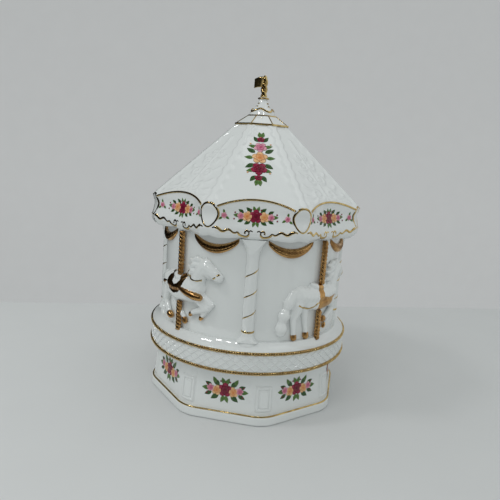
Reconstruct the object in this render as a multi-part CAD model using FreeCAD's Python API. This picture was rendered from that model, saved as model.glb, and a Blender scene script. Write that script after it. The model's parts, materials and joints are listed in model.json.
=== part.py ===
"""A porcelain carousel music box: a turning carousel on an octagonal pedestal that hides a spring-driven
pin-cylinder movement. Millimetres, +Z up, origin at the middle of the foot rim. Angles are measured from the
front (-Y) towards the right (+X)."""

import FreeCAD
import Part
import math
import os

V = FreeCAD.Vector
Z_AXIS = V(0, 0, 1)
ORIGIN = V(0, 0, 0)

# Driving sizes of the pedestal
SIDES = 8
FOOT_APOTHEM = 58.6
FOOT_HEIGHT = 6.0
FOOT_ROUND = 1.4
FOOT_STEP = 1.4
WALL_TAPER = 2.6
PEDESTAL_HEIGHT = 31.0
CORNER_ROUND = 19.0
PEDESTAL_WALL = 4.0
PEDESTAL_CEILING = 3.5
SHAFT_HOLE_GAP = 4.0
LEDGE_WIDTH = 2.5
RECESS_DEPTH = 10.2
BOSS_R = 3.6
BOSS_SINK = 0.5
BOSS_PILOT_R = 1.3
BOSS_PILOT_DEPTH = 9.0
PILASTER_WIDTH = 8.6
PILASTER_HEIGHT = 14.0
PILASTER_BAR = 1.1
PILASTER_GROOVE = 0.8
PILASTER_PROUD = 0.6
PILASTER_FOOT_GAP = 2.6

# Driving sizes of the turning carousel
CAROUSEL_TURN = 10.9
TURNTABLE_GAP = 1.0
TURNTABLE_R = 28.0
TURNTABLE_THICK = 1.2
DRUM_R = 55.5
DRUM_WALL = 3.5
DRUM_HEIGHT = 75.2
LEDGE_OUT = 7.3
LEDGE_RISE = 3.6
DRUM_FOOT_OUT = 2.0
PLATFORM_LIP = 1.2
PLATFORM_LIP_WIDTH = 2.6
PLATFORM_FLOOR = 3.8
PLATFORM_HOLE_R = 14.0
PLATFORM_BAND = 13.4
ROPE_R = 0.9
PILLAR_COUNT = 4
PILLAR_R = 3.5
PILLAR_SINK = 0.6
PILLAR_CAPITAL_R = 7.6
PILLAR_CAPITAL_HEIGHT = 11.0
PILLAR_CAPITAL_OUT = 3.6
PILLAR_FOOT_R = 6.4
PILLAR_FOOT_HEIGHT = 4.5
POLE_R = 2.0
POLE_OFFSET = 1.6
SWAG_HALF_WIDTH = 12.8
SWAG_DROP = 7.0
SWAG_R_MIDDLE = 2.9
SWAG_R_END = 1.1
SWAG_TOP_GAP = 1.2
SWAG_ROLLS = 6

# Driving sizes of the roof
EAVE_OVERHANG = 9.9
EAVE_DIP = 1.8
SIDE_OVERHANG = 2.2
VALANCE_DROP = 18.8
VALANCE_SCALLOP = 0.9
CORNER_FLAT = 4.6
MEDALLION_HALF_WIDTH = 4.3
MEDALLION_HALF_HEIGHT = 5.3
MEDALLION_BELOW_EAVE = 7.6
MEDALLION_PROUD = 0.3
MEDALLION_ROUND = 0.6
ROOF_WALL = 3.5
ROOF_RISE = 43.6
ROOF_TOP_R = 16.6
CAP_LIP = 0.8
CAP_TOP_R = 9.3
CAP_HEIGHT = 5.6
FINIAL_SKIRT_R = 7.7
FINIAL_NECK_R = 2.6
FINIAL_STEP = 2.2
FINIAL_HEIGHT = 11.4
FINIAL_COLLAR = 1.4
FLAG_POST_R = 1.8
FLAG_POST_HEIGHT = 13.4
FLAG_LENGTH = 5.6
FLAG_DEPTH = 7.0
FLAG_THICK = 1.2
FLAG_DROOP = 2.4

# Driving sizes of the movement
COVER_THICK = 1.2
COVER_CLEARANCE = 0.3
BEDPLATE_THICK = 2.0
BEDPLATE_MARGIN = 2.0
BEDPLATE_CORNER = 5.0
RUNNING_CLEARANCE = 0.05
ARBOR_R = 2.0
ARBOR_PIVOT_R = 1.5
BUSH_R = 4.0
BUSH_FLANGE = 0.5
RATCHET_R = 6.0
RATCHET_TEETH = 16
RATCHET_THICK = 1.2
RATCHET_DEPTH = 0.9
WASHER_THICK = 0.5
BARREL_R = 12.5
BARREL_WALL = 1.0
BARREL_COVER = 1.0
SPRING_STRIP = 0.35
SPRING_TURNS = 5
GREAT_WHEEL_TEETH = 60
GREAT_WHEEL_PITCH_R = 16.0
GREAT_WHEEL_THICK = 1.4
GREAT_TOOTH_WIDTH = 0.55
FACE_WIDTH = 2.0
SHAFT_R = 4.0
CYLINDER_PINION_TEETH = 20
CYLINDER_AXIS_ABOVE_BED = 6.3
CYLINDER_R = 4.5
CYLINDER_LENGTH = 20.0
PIN_HEIGHT = 0.5
PIN_R = 0.2
PIN_TRACKS = 18
PINS_PER_TRACK = 4
CYLINDER_ARBOR_R = 0.8
BRACKET_THICK = 1.0
END_SHAKE = 0.3
CYLINDER_WHEEL_TEETH = 30
LAY_PINION_TEETH = 8
TRAIN_MODULE = 0.35
TRAIN_WIDTH = 1.5
MESH_BACKLASH = 0.05
LAY_ARBOR_R = 0.6
WORM_WHEEL_TEETH = 24
WORM_MODULE = 0.4
WORM_PITCH_R = 1.6
WORM_THREAD_WIDTH = 0.35
WORM_TURNS = 4
FAN_R = 5.0
FAN_HEIGHT = 2.6
FAN_THICK = 0.4
COMB_THICK = 0.9
COMB_REACH = 17.0
COMB_TIP_GAP = 0.35
COMB_SLOT = 0.25
ANVIL_DEPTH = 7.5
KEY_WING_SPAN = 22.0
KEY_WING_THICK = 1.6
KEY_CLEAR_OF_FLOOR = 1.2
KEY_COLLAR_R = 2.9
SCREW_R = 1.1
SCREW_HEAD_R = 2.0
SCREW_HEAD = 1.0

# Sections of the valance from its lower edge to the eave: (share of its height, corner out, side out), where
# out is measured from the corner and the side of the eave
VALANCE_SECTIONS = [
    (0.0, -1.8, 0.7),
    (0.11, -0.1, 2.1),
    (0.32, 0.7, 2.3),
    (0.5, -0.4, 1.3),
    (0.68, -1.2, 0.5),
    (0.85, -0.9, 0.0),
    (1.0, 0.0, 0.0),
]

# Horses: a joint is (along the wall, up from the platform, off the wall, radius), and a bone joins two joints
HORSE_BODY = {
    "rump": (-13.8, 26.0, -1.6, 6.6),
    "back": (-3.0, 25.4, -1.4, 6.0),
    "chest": (11.4, 26.4, -1.6, 6.8),
    "withers": (11.6, 29.4, -0.8, 5.6),
    "crest": (14.6, 38.0, -0.2, 4.4),
    "poll": (16.6, 41.0, 0.2, 3.9),
    "muzzle": (26.0, 31.4, 0.9, 2.4),
    "jowl": (18.4, 38.2, 0.4, 3.6),
    "mane_low": (7.4, 34.0, 0.6, 2.4),
    "mane_mid": (10.8, 39.4, 0.8, 2.8),
    "mane_top": (14.4, 42.4, 0.8, 2.1),
    "ear_low": (16.4, 43.2, 1.0, 1.1),
    "ear_tip": (17.0, 45.2, 1.2, 0.5),
    "cantle": (-6.4, 32.2, 0.4, 1.8),
    "seat": (-1.4, 30.6, 0.8, 2.2),
    "pommel": (3.6, 32.8, 0.4, 1.5),
    "dock": (-19.6, 28.6, 0.0, 2.2),
    "tail_bend": (-23.6, 23.8, 0.2, 2.7),
    "tail_mid": (-25.2, 15.6, 0.2, 2.9),
    "tail_end": (-25.0, 9.0, 0.2, 2.3),
}
HORSE_BODY_BONES = [
    ("rump", "back"),
    ("back", "chest"),
    ("withers", "crest"),
    ("poll", "muzzle"),
    ("jowl", "muzzle"),
    ("mane_low", "mane_mid"),
    ("mane_mid", "mane_top"),
    ("ear_low", "ear_tip"),
    ("cantle", "seat"),
    ("seat", "pommel"),
    ("dock", "tail_bend"),
    ("tail_bend", "tail_mid"),
    ("tail_mid", "tail_end"),
]
LEAPING_LEGS = [
    [(-14.5, 22.0, 0.2, 4.4), (-16.6, 14.6, 1.2, 2.1), (-10.2, 9.2, 1.6, 1.9)],
    [(-9.6, 21.0, -0.4, 3.4), (-3.6, 13.0, 0.6, 1.9), (4.6, 5.6, 1.2, 1.7)],
    [(11.6, 22.4, 0.6, 3.9), (19.6, 16.2, 1.4, 2.4), (9.8, 11.0, 1.6, 1.7)],
    [(14.0, 22.6, -0.4, 3.3), (22.0, 18.4, 0.6, 2.0), (16.4, 10.4, 0.8, 1.6)],
]
STANDING_LEGS = [
    [(-15.0, 22.0, 0.2, 4.4), (-18.8, 12.8, 1.0, 2.1), (-17.2, 4.6, 1.2, 1.5), (-16.8, 2.0, 1.4, 1.9)],
    [(-11.0, 21.0, -0.4, 3.6), (-11.2, 12.4, 0.6, 2.0), (-9.2, 4.9, 0.8, 1.4), (-8.8, 2.2, 1.0, 1.8)],
    [(11.6, 22.4, 0.6, 3.9), (15.6, 15.0, 1.4, 2.0), (4.4, 10.4, 1.6, 1.9)],
    [(13.2, 22.4, -0.4, 3.2), (19.0, 14.6, 0.6, 2.0), (10.0, 7.6, 0.8, 1.4), (6.0, 5.2, 1.0, 1.6)],
]

# Places that follow from the driving sizes
WALL_APOTHEM_LOW = FOOT_APOTHEM - FOOT_STEP
WALL_APOTHEM_TOP = WALL_APOTHEM_LOW - WALL_TAPER
MOUTH_APOTHEM = WALL_APOTHEM_LOW - PEDESTAL_WALL
CHAMBER_APOTHEM = MOUTH_APOTHEM - LEDGE_WIDTH
CHAMBER_TOP_APOTHEM = WALL_APOTHEM_TOP - PEDESTAL_WALL - LEDGE_WIDTH / 2
INNER_ROUND = CORNER_ROUND - PEDESTAL_WALL
BOSS_PCD_R = CHAMBER_APOTHEM - BOSS_R + BOSS_SINK
SHAFT_HOLE_R = SHAFT_R + SHAFT_HOLE_GAP
COVER_TOP = RECESS_DEPTH
COVER_LOW = COVER_TOP - COVER_THICK
BED_LOW = COVER_TOP
BED_TOP = BED_LOW + BEDPLATE_THICK
CEILING_LOW = PEDESTAL_HEIGHT - PEDESTAL_CEILING
RATCHET_LOW = BED_TOP + BUSH_FLANGE
WASHER_LOW = RATCHET_LOW + RATCHET_THICK
BARREL_LOW = WASHER_LOW + WASHER_THICK
AXIS_Z = BED_TOP + CYLINDER_AXIS_ABOVE_BED
PINION_PITCH_R = GREAT_WHEEL_PITCH_R * CYLINDER_PINION_TEETH / GREAT_WHEEL_TEETH
FACE_PITCH = 2 * math.pi * GREAT_WHEEL_PITCH_R / GREAT_WHEEL_TEETH
FACE_ADDENDUM = 0.27 * FACE_PITCH
FACE_DEDENDUM = 0.4 * FACE_PITCH
MESH_Z = AXIS_Z + PINION_PITCH_R
GREAT_WHEEL_LOW = MESH_Z + FACE_DEDENDUM
GREAT_WHEEL_TOP = GREAT_WHEEL_LOW + GREAT_WHEEL_THICK
PINION_X = GREAT_WHEEL_PITCH_R - FACE_WIDTH / 2
CYLINDER_BRACKET_X = PINION_X + FACE_WIDTH + END_SHAKE
CYLINDER_X = CYLINDER_BRACKET_X + BRACKET_THICK + END_SHAKE
CYLINDER_END_X = CYLINDER_X + CYLINDER_LENGTH
WHEEL_X = CYLINDER_END_X + 2 * END_SHAKE
WORM_WHEEL_X = WHEEL_X + TRAIN_WIDTH + 3 * END_SHAKE
END_BRACKET_X = WORM_WHEEL_X + TRAIN_WIDTH + 3 * END_SHAKE
CYLINDER_WHEEL_R = TRAIN_MODULE * CYLINDER_WHEEL_TEETH / 2
LAY_PINION_R = TRAIN_MODULE * LAY_PINION_TEETH / 2
LAY_Y = CYLINDER_WHEEL_R + LAY_PINION_R + MESH_BACKLASH
LAY_COCK_X = CYLINDER_END_X - BRACKET_THICK - 2 * END_SHAKE
WORM_WHEEL_R = WORM_MODULE * WORM_WHEEL_TEETH / 2
WORM_PITCH = math.pi * WORM_MODULE
WORM_X = WORM_WHEEL_X + TRAIN_WIDTH / 2
WORM_Y = LAY_Y + WORM_WHEEL_R + WORM_PITCH_R
WORM_HALF = WORM_PITCH * WORM_TURNS / 2
COCK_ARM_LOW = AXIS_Z + WORM_HALF + 3 * END_SHAKE
COCK_ARM_TOP = COCK_ARM_LOW + BRACKET_THICK
COCK_NEAR_Y = WORM_Y + WORM_PITCH_R + 2 * BRACKET_THICK
COCK_FAR_Y = COCK_NEAR_Y + 3 * BRACKET_THICK
FAN_LOW = COCK_ARM_TOP + 2 * END_SHAKE
COMB_TIP_Y = -(CYLINDER_R + PIN_HEIGHT + COMB_TIP_GAP)
COMB_BACK_Y = COMB_TIP_Y - COMB_REACH
BEDPLATE_X = (-BARREL_R - BEDPLATE_MARGIN, END_BRACKET_X + 3 * BRACKET_THICK + BEDPLATE_MARGIN)
BEDPLATE_Y = (COMB_BACK_Y - BEDPLATE_MARGIN, COCK_FAR_Y + BEDPLATE_MARGIN)
TURNTABLE_LOW = PEDESTAL_HEIGHT + TURNTABLE_GAP
TURNTABLE_TOP = TURNTABLE_LOW + TURNTABLE_THICK
PLATFORM_LOW = TURNTABLE_TOP
PLATFORM_RIM_R = DRUM_R + LEDGE_OUT
RIM_LOW = PLATFORM_LOW - PLATFORM_LIP
RIM_TOP = RIM_LOW + PLATFORM_BAND
FLOOR_TOP = PLATFORM_LOW + PLATFORM_FLOOR
PLATFORM_TOP = RIM_TOP + LEDGE_RISE
DRUM_TOP = PLATFORM_TOP + DRUM_HEIGHT
EAVE_HEIGHT = DRUM_TOP + EAVE_DIP
VALANCE_LOW = EAVE_HEIGHT - VALANCE_DROP
EAVE_R = DRUM_R + EAVE_OVERHANG
SIDE_APOTHEM = DRUM_R + SIDE_OVERHANG
SWAG_TOP = VALANCE_LOW - SWAG_TOP_GAP
ROOF_TOP_HEIGHT = EAVE_HEIGHT + ROOF_RISE
CAP_R = ROOF_TOP_R + CAP_LIP
CAP_TOP = ROOF_TOP_HEIGHT + CAP_HEIGHT
FINIAL_LOW = CAP_TOP
SKIRT_Z = FINIAL_LOW + FINIAL_STEP
FINIAL_TOP = FINIAL_LOW + FINIAL_HEIGHT
HALF_CORNER = math.radians(180.0 / SIDES)


# Shared shapes
def polar(radius, degrees, height):
    angle = math.radians(degrees)
    return V(radius * math.sin(angle), -radius * math.cos(angle), height)


def turned(shape, degrees):
    copy = shape.copy()
    copy.rotate(ORIGIN, Z_AXIS, degrees)
    return copy


def fused(shapes):
    first, rest = shapes[0], shapes[1:]
    return first.multiFuse(rest).removeSplitter() if rest else first


def octagon(apothem, height):
    radius = apothem / math.cos(HALF_CORNER)
    step = 360.0 / SIDES
    corners = [polar(radius, step * (i + 0.5), height) for i in range(SIDES)]
    return Part.makePolygon(corners + corners[:1])


def frustum(low_apothem, low, top_apothem, top):
    return Part.makeLoft([octagon(low_apothem, low), octagon(top_apothem, top)], True, True)


def corner_edges(solid):
    """The edges that run up the corners of an octagonal solid."""
    found = []
    for edge in solid.Edges:
        ends = [v.Point for v in edge.Vertexes]
        if len(ends) == 2 and abs(ends[0].z - ends[1].z) > 0.5 * solid.BoundBox.ZLength:
            found.append(edge)
    return found


def rounded_octagon(low_apothem, low, top_apothem, top, corner):
    solid = frustum(low_apothem, low, top_apothem, top)
    return solid.makeFillet(corner, corner_edges(solid))


def revolved_edges(edges):
    return Part.Face(Part.Wire(edges)).revolve(ORIGIN, Z_AXIS, 360)


def bowed_octagon(corner_r, side_apothem, height):
    """An eight-cornered outline with a small flat at each corner and sides that bow inwards between them."""
    step = 360.0 / SIDES
    edges = []
    for i in range(SIDES):
        ends = []
        for side, way in ((i - 0.5, 1), (i + 0.5, -1), (i + 0.5, 1)):
            along = polar(CORNER_FLAT * way, step * side + 90, 0)
            ends.append(polar(corner_r, step * side, height) + along)
        edges.append(Part.Arc(ends[0], polar(side_apothem, step * i, height), ends[1]).toShape())
        edges.append(Part.LineSegment(ends[1], ends[2]).toShape())
    return Part.Wire(edges)


def disc(radius, low, top, middle=ORIGIN):
    return Part.makeCylinder(radius, top - low, V(middle.x, middle.y, low))


def capsule(start, start_r, end, end_r):
    """A limb with round ends that tapers from one radius to the other."""
    along = end - start
    length = along.Length
    lean = math.asin(max(-0.95, min(0.95, (start_r - end_r) / length)))
    low = V(start_r * math.cos(lean), 0, start_r * math.sin(lean))
    high = V(end_r * math.cos(lean), 0, length + end_r * math.sin(lean))
    half_low = (lean - math.pi / 2) / 2
    half_high = (lean + math.pi / 2) / 2
    bottom, top = V(0, 0, -start_r), V(0, 0, length + end_r)
    mid_low = V(start_r * math.cos(half_low), 0, start_r * math.sin(half_low))
    mid_high = V(end_r * math.cos(half_high), 0, length + end_r * math.sin(half_high))
    outline = [
        Part.Arc(bottom, mid_low, low).toShape(),
        Part.LineSegment(low, high).toShape(),
        Part.Arc(high, mid_high, top).toShape(),
        Part.LineSegment(top, bottom).toShape(),
    ]
    limb = revolved_edges(outline)
    limb.Placement = FreeCAD.Placement(start, FreeCAD.Rotation(Z_AXIS, along))
    return limb


def tooth_ring(teeth, root_r, tip_r, root_width, tip_width, width, first=0.0):
    """A gear blank with straight-sided teeth, its axis along +Z, with a tooth at the angle first."""
    points = []
    for i in range(teeth):
        middle = first + 2 * math.pi * i / teeth
        for radius, half in (
            (root_r, -root_width / 2),
            (tip_r, -tip_width / 2),
            (tip_r, tip_width / 2),
            (root_r, root_width / 2),
        ):
            angle = middle + half / radius
            points.append(V(radius * math.cos(angle), radius * math.sin(angle), 0))
    return Part.Face(Part.makePolygon(points + points[:1])).extrude(V(0, 0, width))


def along_x(shape, x, y, z):
    """Lays a shape built along +Z along +X instead: its own +X then points up and its +Y to the front."""
    copy = shape.copy()
    copy.Placement = FreeCAD.Placement(V(x, y, z), FreeCAD.Rotation(V(0, 1, 0), 90)).multiply(
        FreeCAD.Placement(ORIGIN, FreeCAD.Rotation(Z_AXIS, 180))
    )
    return copy


def rod_x(radius, x, length, y, z):
    return Part.makeCylinder(radius, length, V(x, y, z), V(1, 0, 0))


def block(x, y, z):
    return Part.makeBox(x[1] - x[0], y[1] - y[0], z[1] - z[0], V(x[0], y[0], z[0]))


def screw(middle, seat, length, up):
    """A cheese-head screw with a driver slot. Its head sits on seat, and its shank runs on from there."""
    way = 1 if up else -1
    shank = Part.makeCylinder(SCREW_R, length, V(middle.x, middle.y, seat), V(0, 0, way))
    head = Part.makeCylinder(SCREW_HEAD_R, SCREW_HEAD, V(middle.x, middle.y, seat), V(0, 0, -way))
    slot_depth = 0.45 * SCREW_HEAD
    top = seat - way * SCREW_HEAD
    slot_low = min(top, top + way * slot_depth)
    slot = block(
        (middle.x - SCREW_HEAD_R, middle.x + SCREW_HEAD_R),
        (middle.y - 0.2 * SCREW_HEAD_R, middle.y + 0.2 * SCREW_HEAD_R),
        (slot_low, slot_low + slot_depth),
    )
    return shank.fuse(head).cut(slot).removeSplitter()


# Pedestal
def boss_places():
    step = 360.0 / SIDES
    return [polar(BOSS_PCD_R, step * (2 * i + 1), 0) for i in range(SIDES // 2)]


def pilasters(wall):
    """Raised frames on the rounded corners, each round a panel that stands out of it by the same amount."""
    low = FOOT_HEIGHT + PILASTER_FOOT_GAP
    reach = FOOT_APOTHEM / math.cos(HALF_CORNER)
    plates = []
    for inset in (0.0, PILASTER_BAR, PILASTER_BAR + PILASTER_GROOVE):
        half = PILASTER_WIDTH / 2 - inset
        plates.append(block((-half, half), (-reach, 0), (low + inset, low + PILASTER_HEIGHT - inset)))
    outer, hole, panel = plates
    step = 360.0 / SIDES
    skin = rounded_octagon(
        WALL_APOTHEM_LOW + PILASTER_PROUD,
        0,
        WALL_APOTHEM_TOP + PILASTER_PROUD,
        PEDESTAL_HEIGHT,
        CORNER_ROUND + PILASTER_PROUD,
    )
    framed = outer.cut(hole).fuse(panel)
    framed = turned(framed, step / 2).common(skin).cut(wall)
    return [turned(framed, step * i) for i in range(SIDES)]


def make_pedestal():
    foot = rounded_octagon(FOOT_APOTHEM, 0, FOOT_APOTHEM, FOOT_HEIGHT, CORNER_ROUND)
    rims = [e for e in foot.Edges if abs(e.BoundBox.ZMax - e.BoundBox.ZMin) < 0.01]
    foot = foot.makeFillet(FOOT_ROUND, rims)
    wall = rounded_octagon(WALL_APOTHEM_LOW, 0, WALL_APOTHEM_TOP, PEDESTAL_HEIGHT, CORNER_ROUND)
    chamber = rounded_octagon(CHAMBER_APOTHEM, RECESS_DEPTH, CHAMBER_TOP_APOTHEM, CEILING_LOW, INNER_ROUND)
    recess = rounded_octagon(MOUTH_APOTHEM, -1, MOUTH_APOTHEM, RECESS_DEPTH, INNER_ROUND)
    body = foot.fuse(wall).cut(chamber).cut(recess)
    body = body.cut(disc(SHAFT_HOLE_R, CEILING_LOW - 1, PEDESTAL_HEIGHT + 1))
    for place in boss_places():
        boss = disc(BOSS_R, RECESS_DEPTH, CEILING_LOW, place)
        pilot = disc(BOSS_PILOT_R, RECESS_DEPTH, RECESS_DEPTH + BOSS_PILOT_DEPTH, place)
        body = body.fuse(boss.cut(pilot)).cut(pilot)
    return fused([body] + pilasters(wall))


def bed_screw_places():
    inset = 2 * SCREW_HEAD_R
    return [
        V(BEDPLATE_X[0] + inset, BEDPLATE_Y[0] + inset, 0),
        V(BEDPLATE_X[0] + inset, BEDPLATE_Y[1] - inset, 0),
        V(BEDPLATE_X[1] - inset, BEDPLATE_Y[0] + inset, 0),
    ]


def make_cover_plate():
    edge = MOUTH_APOTHEM - COVER_CLEARANCE
    plate = rounded_octagon(edge, COVER_LOW, edge, COVER_TOP, INNER_ROUND)
    plate = plate.cut(disc(BUSH_R + 1, COVER_LOW - 1, COVER_TOP + 1))
    for place in boss_places() + bed_screw_places():
        plate = plate.cut(disc(SCREW_R + RUNNING_CLEARANCE, COVER_LOW - 1, COVER_TOP + 1, place))
    return plate


def make_cover_screws():
    """Screws that cut their own thread: their shanks fill the pilot holes."""
    length = BOSS_PILOT_DEPTH - 1 + COVER_THICK
    made = []
    for place in boss_places():
        made.append(screw(place, COVER_LOW, length, True))
    return Part.makeCompound(made)


# Movement: bedplate, spring barrel and key
def make_bedplate():
    plate = block(BEDPLATE_X, BEDPLATE_Y, (BED_LOW, BED_TOP))
    plate = plate.makeFillet(BEDPLATE_CORNER, corner_edges(plate))
    plate = plate.cut(disc(BUSH_R, BED_LOW - 1, BED_TOP + 1))
    for place in bed_screw_places():
        plate = plate.cut(disc(SCREW_R + RUNNING_CLEARANCE, BED_LOW - 1, BED_TOP + 1, place))
    worm = V(WORM_X, WORM_Y, 0)
    return plate.cut(disc(LAY_ARBOR_R + RUNNING_CLEARANCE, BED_LOW - 1, BED_TOP + 1, worm))


def make_bedplate_screws():
    length = BEDPLATE_THICK + COVER_THICK
    return Part.makeCompound([screw(p, BED_TOP, length, False) for p in bed_screw_places()])


def make_bush():
    sleeve = disc(BUSH_R, BED_LOW, BED_TOP).fuse(disc(BUSH_R + 1, BED_TOP, RATCHET_LOW))
    return sleeve.cut(disc(ARBOR_R + RUNNING_CLEARANCE, BED_LOW - 1, RATCHET_LOW + 1)).removeSplitter()


def make_key():
    """A butterfly key: two flat rounded wings on a collar that screws on to the spring arbor."""
    low, top = KEY_CLEAR_OF_FLOOR, COVER_LOW - 1.0
    collar = disc(KEY_COLLAR_R, low + 2.5, top)
    wing_r = KEY_WING_SPAN / 4
    middle = (low + top - 1) / 2
    height = (top - 1 - low) / 2
    wings = []
    for side in (-1, 1):
        wing = Part.makeCylinder(1.0, KEY_WING_THICK, V(0, -KEY_WING_THICK / 2, 0), V(0, 1, 0))
        scale = FreeCAD.Matrix()
        scale.scale(V(wing_r, 1, height))
        wing = wing.transformGeometry(scale)
        wing.translate(V(side * wing_r, 0, middle))
        eye_start = V(side * wing_r, -KEY_WING_THICK / 2, middle)
        eye = Part.makeCylinder(0.4 * height, KEY_WING_THICK, eye_start, V(0, 1, 0))
        wings.append(wing.cut(eye))
    key = fused([collar] + wings)
    return key.cut(disc(ARBOR_PIVOT_R, top - 4, top + 1))


def make_spring_arbor():
    key_top = COVER_LOW - 1.0
    shank = disc(ARBOR_PIVOT_R, key_top - 4, key_top)
    body = disc(ARBOR_R, key_top, GREAT_WHEEL_LOW - 3)
    pivot = disc(ARBOR_PIVOT_R, GREAT_WHEEL_LOW - 3, GREAT_WHEEL_LOW - 1)
    return fused([shank, body, pivot])


def make_ratchet_wheel():
    points = []
    for i in range(RATCHET_TEETH):
        start = 2 * math.pi * i / RATCHET_TEETH
        end = 2 * math.pi * (i + 0.85) / RATCHET_TEETH
        for radius, angle in ((RATCHET_R - RATCHET_DEPTH, start), (RATCHET_R, end)):
            points.append(V(radius * math.cos(angle), radius * math.sin(angle), RATCHET_LOW))
    wheel = Part.Face(Part.makePolygon(points + points[:1])).extrude(V(0, 0, RATCHET_THICK))
    return wheel.cut(disc(ARBOR_R, RATCHET_LOW - 1, WASHER_LOW + 1))


def make_click_spring():
    """A leaf of spring steel with a foot on the bedplate, whose bent tip drops behind a ratchet tooth."""
    thick = SPRING_STRIP
    reach = RATCHET_R + RUNNING_CLEARANCE + 0.2
    far = reach + 6.0
    low, top = RATCHET_LOW, RATCHET_LOW + RATCHET_THICK
    leaf = block((-far, 0), (-reach - thick, -reach), (low, top))
    foot = block((-far, -far + 3.4), (-reach - thick - 4, -reach - thick), (BED_TOP, BED_TOP + thick))
    riser = block((-far, -far + thick), (-reach - thick, -reach), (BED_TOP, top))
    flange = block((-far, -far + 3.4), (-reach - thick, -reach), (BED_TOP, BED_TOP + thick))
    hole = disc(SCREW_R + RUNNING_CLEARANCE, BED_TOP - 1, BED_TOP + 1, click_screw_place())
    return fused([leaf, riser, flange, foot]).cut(hole)


def click_screw_place():
    reach = RATCHET_R + RUNNING_CLEARANCE + 0.2
    return V(-reach - 6.0 + 1.7, -reach - SPRING_STRIP - 2.0, 0)


def make_thrust_washer():
    washer = disc(ARBOR_R + 2.5, WASHER_LOW, BARREL_LOW)
    return washer.cut(disc(ARBOR_R + RUNNING_CLEARANCE, WASHER_LOW - 1, BARREL_LOW + 1))


def make_barrel_cover():
    lid = disc(BARREL_R, BARREL_LOW, BARREL_LOW + BARREL_COVER)
    return lid.cut(disc(ARBOR_R + RUNNING_CLEARANCE, BARREL_LOW - 1, BARREL_LOW + BARREL_COVER + 1))


def make_spring_barrel():
    low = BARREL_LOW + BARREL_COVER
    drum = disc(BARREL_R, low, GREAT_WHEEL_LOW)
    drum = drum.cut(disc(BARREL_R - BARREL_WALL, low - 1, GREAT_WHEEL_LOW - BARREL_WALL))
    bore = disc(ARBOR_PIVOT_R + RUNNING_CLEARANCE, low, GREAT_WHEEL_LOW + 1)
    return drum.cut(bore)


def make_mainspring():
    """A flat strip wound as a spiral, hooked to the barrel wall and ending close round the arbor."""
    inner = ARBOR_R + 0.3
    outer = BARREL_R - BARREL_WALL - SPRING_STRIP
    low = BARREL_LOW + BARREL_COVER + 0.2
    height = GREAT_WHEEL_LOW - BARREL_WALL - 3.2 - low
    steps = 4 * SPRING_TURNS
    growth = (outer - inner) / steps
    strips = []
    for thickness in (0.0, SPRING_STRIP):
        edges = []
        for i in range(steps):
            ends = []
            for part in (0.0, 0.5, 1.0):
                radius = inner + thickness + growth * (i + part)
                angle = math.pi / 2 * (i + part)
                ends.append(V(radius * math.cos(angle), radius * math.sin(angle), low))
            edges.append(Part.Arc(*ends).toShape())
        strips.append(edges)
    inside, outside = strips
    caps = []
    starts = inside[0].firstVertex(), outside[0].firstVertex()
    ends = inside[-1].lastVertex(), outside[-1].lastVertex()
    for a, b in (starts, ends):
        caps.append(Part.LineSegment(a.Point, b.Point).toShape())
    wire = Part.Wire(Part.__sortEdges__(inside + outside + caps))
    return Part.Face(wire).extrude(V(0, 0, height))


def make_great_wheel():
    """The barrel's wheel: a flat rim whose face teeth hang down to the cylinder's pinion."""
    inner = GREAT_WHEEL_PITCH_R - 0.6 * FACE_WIDTH
    outer = GREAT_WHEEL_PITCH_R + 0.6 * FACE_WIDTH
    wheel = disc(outer, GREAT_WHEEL_LOW, GREAT_WHEEL_TOP)
    depth = FACE_ADDENDUM + FACE_DEDENDUM
    half = GREAT_TOOTH_WIDTH / 2
    tooth = block((inner, outer), (-half, half), (GREAT_WHEEL_LOW - depth, GREAT_WHEEL_LOW))
    step = 360.0 / GREAT_WHEEL_TEETH
    teeth = [turned(tooth, step * (i + 0.5)) for i in range(GREAT_WHEEL_TEETH)]
    ring = disc(outer, GREAT_WHEEL_LOW - depth, GREAT_WHEEL_LOW)
    teeth = [t.common(ring) for t in teeth]
    return fused([wheel] + teeth)


# Movement: pinned cylinder, comb and governor
def make_cylinder_pinion():
    root = PINION_PITCH_R - FACE_ADDENDUM - 0.2
    tip = PINION_PITCH_R + FACE_DEDENDUM - 0.2
    gear = tooth_ring(CYLINDER_PINION_TEETH, root, tip, 0.44 * FACE_PITCH, 0.2 * FACE_PITCH, FACE_WIDTH)
    gear = gear.cut(disc(CYLINDER_ARBOR_R, -1, FACE_WIDTH + 1))
    return along_x(gear, PINION_X, 0, AXIS_Z)


def make_cylinder():
    """The brass cylinder with its playing pins, a few in each track, set out by the golden angle."""
    body = rod_x(CYLINDER_R, CYLINDER_X, CYLINDER_LENGTH, 0, AXIS_Z)
    spacing = CYLINDER_LENGTH / (PIN_TRACKS + 1)
    golden = math.radians(137.508)
    pins = []
    for track in range(PIN_TRACKS):
        for n in range(PINS_PER_TRACK):
            angle = golden * (track * PINS_PER_TRACK + n)
            way = V(0, math.cos(angle), math.sin(angle))
            foot = V(CYLINDER_X + spacing * (track + 1), 0, AXIS_Z) + way * (CYLINDER_R - 0.3)
            pins.append(Part.makeCylinder(PIN_R, PIN_HEIGHT + 0.3, foot, way))
    body = body.cut(rod_x(CYLINDER_ARBOR_R, CYLINDER_X - 1, CYLINDER_LENGTH + 2, 0, AXIS_Z))
    return fused([body] + pins)


def make_cylinder_arbor():
    end = END_BRACKET_X + BRACKET_THICK
    return rod_x(CYLINDER_ARBOR_R, PINION_X, end - PINION_X, 0, AXIS_Z)


def train_teeth(pitch_r):
    """Root radius, tip radius, width at the root and width at the tip of a wheel of the train."""
    root = pitch_r - 1.25 * TRAIN_MODULE
    tip = pitch_r + 0.85 * TRAIN_MODULE
    return root, tip, 1.9 * TRAIN_MODULE, 0.7 * TRAIN_MODULE


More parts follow.
